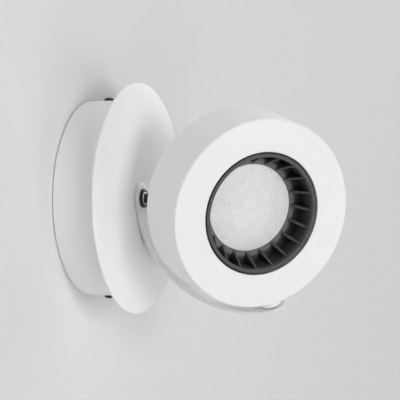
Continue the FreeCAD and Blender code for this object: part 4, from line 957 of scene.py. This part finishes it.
# ---- arm ----
@dataclass
class Arm:
    """The bent strip, its hollow pivot and the lead that runs through it. Sizes in mm."""

    shop: Workshop
    pose: RestPose
    width: float = 18.0  # of the strip
    thickness: float = 2.0
    edge_r: float = 0.3  # rounding of its edges on the head's side
    under_edge_r: float = 0.85  # rounding of its edges on the disc's side
    bend_r: float = 64.0  # outside radius of its bend
    foot: float = 8.4  # flat length from the swivel axis to the bend
    toe: float = 4.8  # flat length from the bend to the tilt axis
    seat: float = 30.5  # height of the disc's front, on which the foot lies
    bend_steps: int = 72  # stretches that stand for the bend
    tube_d: float = 8.0
    tube_bore_d: float = 6.3
    tube_back: float = 18.0  # its inner end
    tube_front: float = 34.4  # its outer end
    tube_round: float = 0.25
    tube_core: float = 0.35  # its core lies this far below the thread's crests
    tube_pitch: float = 0.75
    washer_t: float = 0.4  # thickness of the washer on the strip's foot
    nut_af: float = 11.0
    nut_corner_r: float = 5.7  # radius that its corners are turned down to
    nut_t: float = 1.2
    nut_play: float = 0.05
    nut_sink: float = 0.4  # width of its bore's countersink
    lead_d: float = 5.8
    sheath_start: float = 13.5  # where the lead's sheath starts, inside the rose
    lead_leaves: float = 10.4  # straight run of the lead out of the tube, to its corner
    lead_enters: float = 17.28  # straight run of the lead into the gland, from its corner
    gland_back: float = -24.8  # the gland's mouth, in the head's frame
    sheath_end: float = -16.0  # where the sheath ends, in the head's frame

    def strip(self) -> None:
        """The strip: a flat blank with round ends and rounded edges, then bent."""
        bend_length = self.bend_r * math.radians(self.pose.bend_deg)
        reach = self.foot + bend_length + self.toe
        near = 1e-4
        shape = Shape()
        bm = shape.bm
        bmesh.ops.create_circle(bm, cap_ends=True, segments=BUSH_STEPS, radius=self.width / 2,
                                matrix=Matrix.Rotation(math.radians(90), 4, "Z"))
        far = [v for v in bm.verts if v.co.y < -near]
        ends = [v for v in bm.verts if abs(v.co.y) <= near]
        bmesh.ops.translate(bm, verts=far, vec=(0, -reach, 0))
        for vert in ends:
            side = math.copysign(self.width / 2, vert.co.x)
            edge = next(e for e in vert.link_edges if e.other_vert(vert).co.y < -1)
            bmesh.utils.edge_split(edge, vert, 0.5)[1].co = (side, -reach, 0)
        for i in range(self.bend_steps + 1):
            at = self.foot + bend_length * i / self.bend_steps
            bmesh.ops.bisect_plane(bm, geom=bm.verts[:] + bm.edges[:] + bm.faces[:], dist=near / 10,
                                   plane_co=(0, -at, 0), plane_no=(0, 1, 0))
        shape.thickened((0, 0, self.thickness)).healed()
        shape.soften(self.under_edge_r, 4, 60, self.thickness / 2).soften(self.edge_r, 3, 60)
        for vert in bm.verts:
            vert.co = self.bent(vert.co, bend_length)
        self.shop.piece("swing_arm_bent", shape, Body.ARM, Slot.ARM_PAINT, "swing_arm")

    def bent(self, flat: Vector, bend_length: float) -> Vector:
        """Where a point of the flat blank goes when the strip is bent.

        Args:
            flat: the point: across, along the strip, and above its outside face.
            bend_length: length of the bend, along its outside face.

        Returns:
            The point in the arm's frame.
        """
        along = -flat.y - self.foot
        turn = min(max(along, 0.0), bend_length)
        sine, cosine = math.sin(turn / self.bend_r), math.cos(turn / self.bend_r)
        radius, past = self.bend_r - flat.z, along - turn
        return Vector((flat.x, -self.foot - radius * sine - past * cosine,
                       self.seat + self.bend_r - radius * cosine + past * sine))

    def pivot_tube(self) -> None:
        """The hollow tube with its outside thread and its rounded mouth."""
        outer, bore, edge = self.tube_d / 2, self.tube_bore_d / 2, self.tube_round
        back, front, core = self.tube_back, self.tube_front, self.tube_d / 2 - self.tube_core
        outline = [(bore, back), (core, back)] + arc((core - edge, front - edge), edge, 0, 90, 3)
        tube = Shape.turned(outline + [(bore + edge, front), (bore, front - edge)], BUSH_STEPS)
        tube.with_shape(ridge(outer, back + 0.1, front - 0.15, self.tube_pitch))
        self.shop.piece("pivot_tube_threaded", tube, Body.ARM, Slot.PLATED_TUBE, "pivot_nipple")

    def pivot_nut(self) -> None:
        """The dark nut on the foot, its corners turned off and its bore countersunk."""
        low = self.seat + self.thickness + self.washer_t
        high, corner, flat = low + self.nut_t, self.nut_corner_r, self.nut_af / 2 * 0.96
        bore = self.tube_d / 2 + self.nut_play
        sink = bore + self.nut_sink
        slope = (corner - flat) * math.tan(math.radians(30))
        shape = Shape.rod(self.nut_af / math.sqrt(3), low, high, HEXAGON)
        shape.carved(Shape.turned([(0, low), (flat, low), (corner, low + slope),
                                   (corner, high - slope), (flat, high), (0, high)]),
                     Carve.KEEP_COMMON)
        shape.carved(Shape.turned([(0, low - PAST), (bore, low - PAST), (bore, high - 0.35),
                                   (sink, high + 0.05), (sink, high + PAST), (0, high + PAST)],
                                  SMALL_STEPS))
        self.shop.piece("pivot_nut_chamfered", shape, Body.ARM, Slot.BLACK_STEEL, "pivot_nut")

    def lead(self) -> None:
        """The lead, on one smooth line through the corners of its route."""
        in_arm = self.pose.head_in_arm()
        shine = in_arm.to_3x3() @ Vector((0, 0, 1))
        mouth = in_arm @ Vector((0, 0, self.gland_back))
        end = in_arm @ Vector((0, 0, self.sheath_end))
        leave = Vector((0, 0, self.tube_front + self.lead_leaves))
        enter = mouth - shine * self.lead_enters
        start = Vector((0, 0, self.sheath_start))
        route = [start, start.lerp(leave, 0.5), leave.lerp(start, 0.16), leave,
                 enter, enter.lerp(mouth, 0.55), mouth, end]
        curve = bpy.data.curves.new("lead_route", "CURVE")
        curve.dimensions = "3D"
        curve.bevel_depth, curve.bevel_resolution, curve.use_fill_caps = self.lead_d / 2, 8, True
        spline = curve.splines.new("NURBS")
        spline.points.add(len(route) - 1)
        for point, place in zip(spline.points, route):
            point.co = (*place, 1.0)
        spline.order_u, spline.use_endpoint_u, spline.resolution_u = 3, True, 16
        shape = Shape.taken(shown("lead_route", curve)).healed()
        lead = self.shop.piece("head_lead_smooth", shape, Body.ARM, Slot.BLACK_LEAD, "head_lead",
                               rides=False)
        place = self.shop.frames[Body.ARM]
        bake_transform(lead)

    def build(self) -> None:
        """Builds the arm's new pieces."""
        self.strip()
        self.pivot_tube()
        self.pivot_nut()
        self.lead()


# ---- head ----
@dataclass
class Head:
    """The drum's finned bezel, lens, gland and tilt pivot. Sizes in mm.

    A height is a distance from the tilt axis, the way the light shines.
    """

    shop: Workshop
    drum_r: float = 57.0
    face_back: float = 16.0  # height of the ring face's inside
    bezel_r: float = 36.55
    lip_top: float = 18.1  # height of the bezel's lip
    lip_r: float = 33.95
    lip_edge: float = 0.15
    lip_round: float = 0.3
    rebate: float = 0.5  # width of the step round the lip, a fine dark line
    rebate_depth: float = 1.2  # how deep that step is
    skirt_r: float = 33.65  # inside of the bezel's skirt, behind the floor
    skirt_back: float = -9.4  # height where the skirt ends
    flange_w: float = 5.5  # width of the flange behind the face
    flange_t: float = 1.6
    floor: float = 2.0  # height of the finned floor
    floor_t: float = 1.5
    floor_edge: float = 0.2
    floor_round: float = 0.5  # rounding between floor and lip
    lens_r: float = 26.5
    lens_play: float = 0.15
    lens_front: float = 2.3  # height of the lens's face
    lens_t: float = 2.0
    lens_round: float = 0.4
    lens_seat_w: float = 3.2  # width of the flange behind the floor
    lens_seat_t: float = 0.9
    lens_rim_w: float = 1.5  # width of the lens's rim, which is deeper
    fin_count: int = 20
    fin_t: float = 1.5
    fin_toe: float = 0.1  # height of a fin's inner end above the floor
    fin_toe_gap: float = 0.5  # from the lens to a fin's inner end
    fin_below_lip: float = 1.2  # a fin's highest point, below the lip
    fin_root: float = 0.3  # how far a fin reaches into the lip
    fin_sunk: float = 0.2  # how far a fin reaches into the floor
    fin_round: float = 0.22
    boss_d: float = 13.1
    boss_h: float = 7.7  # its height above the drum
    boss_saddle: float = 1.6  # how far its saddle reaches down the drum
    boss_round: float = 0.4
    boss_bore_r: float = 2.55  # its hole for the tilt screw
    cover_back: float = -19.1  # height of the rear cover's outside
    cover_front: float = -17.6  # height of its inside
    gland_d: float = 13.0
    gland_round: float = 0.5
    gland_flange_t: float = 2.5
    gland_tail_d: float = 9.4
    gland_tail_h: float = 3.2
    gland_tip: float = 0.7  # width and length of the tail's tapered tip
    gland_ribs: int = 3
    gland_groove: float = 0.55  # depth of the grooves between them
    gland_play: float = 0.1
    gland_neck_r: float = 4.5  # of its neck in the cover
    gland_catch: tuple[float, float, float] = (5.5, 4.8, 1.6)  # two radii and a height, inside
    lead_r: float = 2.9
    rear_screw: Fastener = Fastener(shank_d=3.0, head_d=5.6, head_h=1.6, length=8.0,
                                    socket_af=2.0, socket_depth=0.9, pitch=0.5)
    rear_screw_centre: float = 48.0  # radius of their circle
    rear_screw_count: int = 3
    tilt_screw: Fastener = Fastener(shank_d=5.0, head_d=9.0, head_h=1.8, length=22.7,
                                    socket_af=3.0, socket_depth=1.1, pitch=0.8)
    tilt_seat: float = 67.85  # distance of its head from the head's centre

    def bezel(self) -> None:
        """The dark ring with its lip, floor, skirt, flange and fins."""
        flange_r, flange_low = self.bezel_r + self.flange_w, self.face_back - self.flange_t
        lens_hole, floor_back = self.lens_r + self.lens_play, self.floor - self.floor_t
        rim_r, step = self.bezel_r - self.rebate, self.lip_top - self.rebate_depth
        lip, corner = self.lip_round, self.floor_round
        outline = [(self.lip_r + self.lip_edge, self.lip_top)]
        outline += arc((rim_r - lip, self.lip_top - lip), lip, 90, 0, 4)
        outline += [(rim_r, step), (self.bezel_r, step), (self.bezel_r, self.face_back),
                    (flange_r, self.face_back), (flange_r, flange_low), (self.bezel_r, flange_low),
                    (self.bezel_r, self.skirt_back), (self.skirt_r, self.skirt_back),
                    (self.skirt_r, floor_back), (lens_hole, floor_back),
                    (lens_hole, self.floor - self.floor_edge),
                    (lens_hole + self.floor_edge, self.floor), (self.lip_r - corner, self.floor)]
        outline += arc((self.lip_r - corner, self.floor + corner), corner, -90, 0, 4)
        outline += [(self.lip_r, self.lip_top - self.lip_edge)]
        body = Shape.turned(outline, BEZEL_STEPS)
        fin = self.fin()
        for i in range(self.fin_count):
            body.with_shape(fin.copy().turned_about(360.0 / self.fin_count * i))
        self.shop.piece("bezel_finned", body, Body.HEAD, Slot.BEZEL_GREY, "bezel")

    def fin(self) -> Shape:
        """One gusset from the lens up to just under the lip, its free edges rounded.

        Returns:
            The fin at angle 0.
        """
        toe_r, root_r = self.lens_r + self.fin_toe_gap, self.lip_r + self.fin_root
        low, top = self.floor - self.fin_sunk, self.lip_top - self.fin_below_lip
        outline = [(toe_r, low), (root_r, low), (root_r, top), (toe_r, self.floor + self.fin_toe)]
        return Shape.prism(outline, self.fin_t).soften(self.fin_round, 2, 20)

    def diffuser(self) -> None:
        """The frosted lens with its rounded rim and rear flange."""
        radius, front, back = self.lens_r, self.lens_front, self.lens_front - self.lens_t
        floor_back, edge = self.floor - self.floor_t, self.lens_round
        seat_r, seat_back = radius + self.lens_seat_w, floor_back - self.lens_seat_t
        inner = radius - self.lens_rim_w
        outline = [(0, front), (radius * 0.5, front)]
        outline += arc((radius - edge, front - edge), edge, 90, 0, 4)
        outline += [(radius, floor_back), (seat_r, floor_back), (seat_r, seat_back),
                    (inner, seat_back), (inner, back), (0, back)]
        self.shop.piece("diffuser_frosted", Shape.turned(outline), Body.HEAD, Slot.FROSTED_LENS,
                        "diffuser")

    def tilt_boss(self) -> None:
        """The round boss, hollowed to sit on the drum, with a soft outer edge."""
        radius, top, edge = self.boss_d / 2, self.drum_r + self.boss_h, self.boss_round
        low = self.drum_r - self.boss_saddle
        outline = [(0, low), (radius, low)] + arc((radius - edge, top - edge), edge, 0, 90, 4)
        boss = Shape.turned(outline + [(0, top)], BUSH_STEPS)
        boss.carved(Shape.rod(self.boss_bore_r, 0, top + PAST, SMALL_STEPS)).turned_about(90, "X")
        boss.carved(Shape.rod(self.drum_r, -self.boss_d, self.boss_d, RIM_STEPS))
        self.shop.piece("tilt_boss_saddled", boss, Body.HEAD, Slot.WHITE_PAINT, "tilt_spacer")

    def gland(self) -> None:
        """The bush where the lead enters, its tail ribbed to bend softly."""
        bore, tail, tip = self.lead_r + self.gland_play, self.gland_tail_d / 2, self.gland_tip
        groove, edge = tail - self.gland_groove, self.gland_round
        flange_back = self.cover_back - self.gland_flange_t
        back = flange_back - self.gland_tail_h
        outline = [(bore, back), (tail - tip, back), (tail - 0.1, back + 0.6)]
        rib = (self.gland_tail_h - tip) / self.gland_ribs
        profile = ((tail, 0.0), (tail, 0.55), (groove, 0.7), (groove, 0.95))
        for i in range(self.gland_ribs):
            start = back + tip + rib * i
            outline += [(radius, start + rib * share) for radius, share in profile]
        outline += [(tail, flange_back)]
        outline += arc((self.gland_d / 2 - edge, flange_back + edge), edge, -90, 0, 4)
        catch_r, end_r, catch_h = self.gland_catch
        neck, cover = self.gland_neck_r, self.cover_front
        outline += [(self.gland_d / 2, self.cover_back), (neck, self.cover_back), (neck, cover),
                    (catch_r, cover), (end_r, cover + catch_h), (bore, cover + catch_h)]
        self.shop.piece("lead_gland_ribbed", Shape.turned(outline, BUSH_STEPS), Body.HEAD,
                        Slot.BLACK_RUBBER, "lead_gland")

    def rear_screws(self) -> None:
        """The screws in the rear cover."""
        one = self.rear_screw.shape().turned_about(180, "X")
        one.shifted(0, self.rear_screw_centre, self.cover_back)
        all_of_them = Shape()
        for i in range(self.rear_screw_count):
            all_of_them.with_shape(one.copy().turned_about(360.0 / self.rear_screw_count * i))
        self.shop.piece("rear_screws_threaded", all_of_them, Body.HEAD, Slot.ZINC_STEEL,
                        "rear_screws")

    def tilt_bolt(self) -> None:
        """The screw that the head tilts about."""
        bolt = self.tilt_screw.shape().shifted(0, 0, self.tilt_seat).turned_about(90, "X")
        self.shop.piece("tilt_screw_threaded", bolt, Body.HEAD, Slot.BLACK_STEEL, "tilt_screw")

    def build(self) -> None:
        """Builds the head's new pieces."""
        self.bezel()
        self.diffuser()
        self.tilt_boss()
        self.gland()
        self.rear_screws()
        self.tilt_bolt()


# ---- stage ----
@dataclass(frozen=True)
class Softbox:
    """A square soft light that faces the lamp."""

    name: str
    azimuth_deg: float  # its place round the lamp, from straight in front of the wall
    elevation_deg: float  # its height above the horizon
    power: float  # in watts
    size: float = 1.0  # its side, in metres
    distance: float = 2.4  # from the lamp, in metres


@dataclass
class Studio:
    """Camera, wall, floor and soft lights. Metres."""

    azimuth_deg: float = -69.12  # the camera's place round the lamp, as a softbox's
    elevation_deg: float = 1.42  # its height above the horizon
    distance: float = 1.31314  # from the target
    target: tuple[float, float, float] = (0.0, -0.06932, -0.00068)  # in the middle of the frame
    lens_mm: float = 198.0
    sensor_mm: float = 36.0
    clip: tuple[float, float] = (0.05, 30.0)  # nearest and farthest seen
    wall_level: float = 0.77  # linear colour of the wall
    wall_gap: float = 0.0006  # wall behind the lamp, for the fine dark line round the rose
    wall_opening_r: float = 0.0565  # opening in the wall, through which the cup's inside is seen
    floor_down: float = 1.2  # the floor's depth below the lamp
    floor_glow: float = 0.45  # how much brighter the floor looks, far below the lights
    stage_size: float = 8.0  # side of the wall and of the floor
    stage_roughness: float = 0.85
    ambient: float = 0.17  # strength of the even light from all round
    surround: float = 0.55  # brightness of the surroundings where seen or mirrored
    softboxes: tuple[Softbox, ...] = (
        Softbox("front_light", -30.0, 5.0, 21.5),
        Softbox("low_light", 15.0, -20.0, 8.0),
        Softbox("right_light", 85.0, 15.0, 17.6),
        Softbox("right_high_light", 85.0, 50.0, 17.8),
        Softbox("left_high_light", -75.0, 50.0, 8.5),
        Softbox("left_low_light", -40.6, -23.5, 9.4),
        Softbox("back_light", 200.0, 20.0, 14.0),
    )

    def facing(self, obj: bpy.types.Object, azimuth_deg: float, elevation_deg: float,
               distance: float) -> None:
        """Puts an object at a place round the target, looking at it.

        Args:
            obj: a camera or a light.
            azimuth_deg: round from straight in front of the wall.
            elevation_deg: above the horizon.
            distance: from the target.
        """
        azimuth, elevation = math.radians(azimuth_deg), math.radians(elevation_deg)
        way = Vector((math.sin(azimuth) * math.cos(elevation),
                      -math.cos(azimuth) * math.cos(elevation), math.sin(elevation)))
        obj.location = Vector(self.target) + way * distance
        obj.rotation_euler = (-way).to_track_quat("-Z", "Y").to_euler()

    def camera(self) -> None:
        """The camera at the photograph's viewing angle."""
        data = bpy.data.cameras.new("camera")
        data.lens, data.sensor_width = self.lens_mm, self.sensor_mm
        data.clip_start, data.clip_end = self.clip
        camera = shown("camera", data)
        self.facing(camera, self.azimuth_deg, self.elevation_deg, self.distance)
        bpy.context.scene.camera = camera

    def paint(self, name: str, glow: float) -> bpy.types.Material:
        """Plain pale paint, see-through from behind, so that the lamp's back can be looked at.

        Args:
            name: the material's name.
            glow: how much brighter it looks where it is seen directly; it adds no light.

        Returns:
            The material.
        """
        net = Paintwork(name)
        seen = net.add("ShaderNodeLightPath").outputs["Is Camera Ray"]
        net.coat(Roughness=self.stage_roughness, Base_Color=(*grey(self.wall_level), 1),
                 Emission_Color=(1, 1, 1, 1), Emission_Strength=net.span(seen, 0.0, glow, 0.0, 1.0))
        side = net.add("ShaderNodeNewGeometry").outputs["Backfacing"]
        clear = net.add("ShaderNodeBsdfTransparent").outputs["BSDF"]
        mix = net.add("ShaderNodeMixShader", {"Fac": side, 1: net.shader.outputs["BSDF"], 2: clear})
        net.feed(net.output.inputs["Surface"], mix.outputs["Shader"])
        return net.material

    def backdrop(self) -> None:
        """The wall that the lamp hangs on, open behind the cup, and the floor below it."""
        half = self.stage_size / 2
        wall, floor = Shape(), Shape()
        upright = Matrix.Rotation(math.radians(90), 4, "X")
        upright.translation = (0.0, self.wall_gap, 0.0)
        for radius in (self.wall_opening_r, half):
            bmesh.ops.create_circle(wall.bm, segments=LATHE_STEPS, radius=radius, matrix=upright)
        bmesh.ops.bridge_loops(wall.bm, edges=wall.bm.edges[:])
        away = [face for face in wall.bm.faces if face.normal.y > 0]
        bmesh.ops.reverse_faces(wall.bm, faces=away)
        bmesh.ops.create_grid(floor.bm, x_segments=1, y_segments=1, size=half,
                              matrix=Matrix.Translation((0.0, -half, -self.floor_down)))
        parts = (("stage_wall", wall, 0.0), ("stage_floor", floor, self.floor_glow))
        for name, shape, glow in parts:
            obj = shown(name, shape.draft(name))
            obj.data.materials.append(self.paint(name, glow))

    def lights(self) -> None:
        """The soft lights, each facing the lamp."""
        for box in self.softboxes:
            data = bpy.data.lights.new(box.name, "AREA")
            data.shape, data.size, data.energy = "SQUARE", box.size, box.power
            self.facing(shown(box.name, data), box.azimuth_deg, box.elevation_deg, box.distance)

    def surroundings(self) -> None:
        """Even light from all round, and pale surroundings wherever they are seen or mirrored."""
        world = bpy.data.worlds.new("world")
        world.use_nodes = True
        net = Network(world.node_tree)
        path = net.add("ShaderNodeLightPath").outputs
        mirrored = net.math("MAXIMUM", path["Is Glossy Ray"], path["Is Transmission Ray"])
        seen = net.math("MAXIMUM", path["Is Camera Ray"], mirrored)
        background = net.tree.nodes["Background"]
        net.feed(background.inputs["Color"], (1, 1, 1, 1))
        strength = net.span(seen, self.ambient, self.surround, 0.0, 1.0)
        net.feed(background.inputs["Strength"], strength)
        bpy.context.scene.world = world

    def build(self) -> None:
        """Builds what stands round the lamp."""
        self.backdrop()
        self.lights()
        self.surroundings()


def clear_other_objects() -> None:
    """Removes whatever the file held beside the frame."""
    kept = set(frame["nodes"].values()) | set(frame["bodies"].values())
    for obj in list(bpy.data.objects):
        if obj not in kept:
            bpy.data.objects.remove(obj)


def main() -> None:
    """Builds the lamp's pieces and the stage, in order."""
    logging.basicConfig(level=logging.INFO, format="%(name)s: %(message)s")
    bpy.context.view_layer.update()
    clear_other_objects()
    pose = RestPose()
    studio = Studio()
    studio.camera()
    shop = Workshop(pose)
    for assembly in (Rose(shop), Arm(shop, pose), Head(shop)):
        assembly.build()
    shop.dress_nodes()
    studio.build()
    bpy.context.scene.view_settings.view_transform = "Standard"


if __name__ == "__main__":
    main()
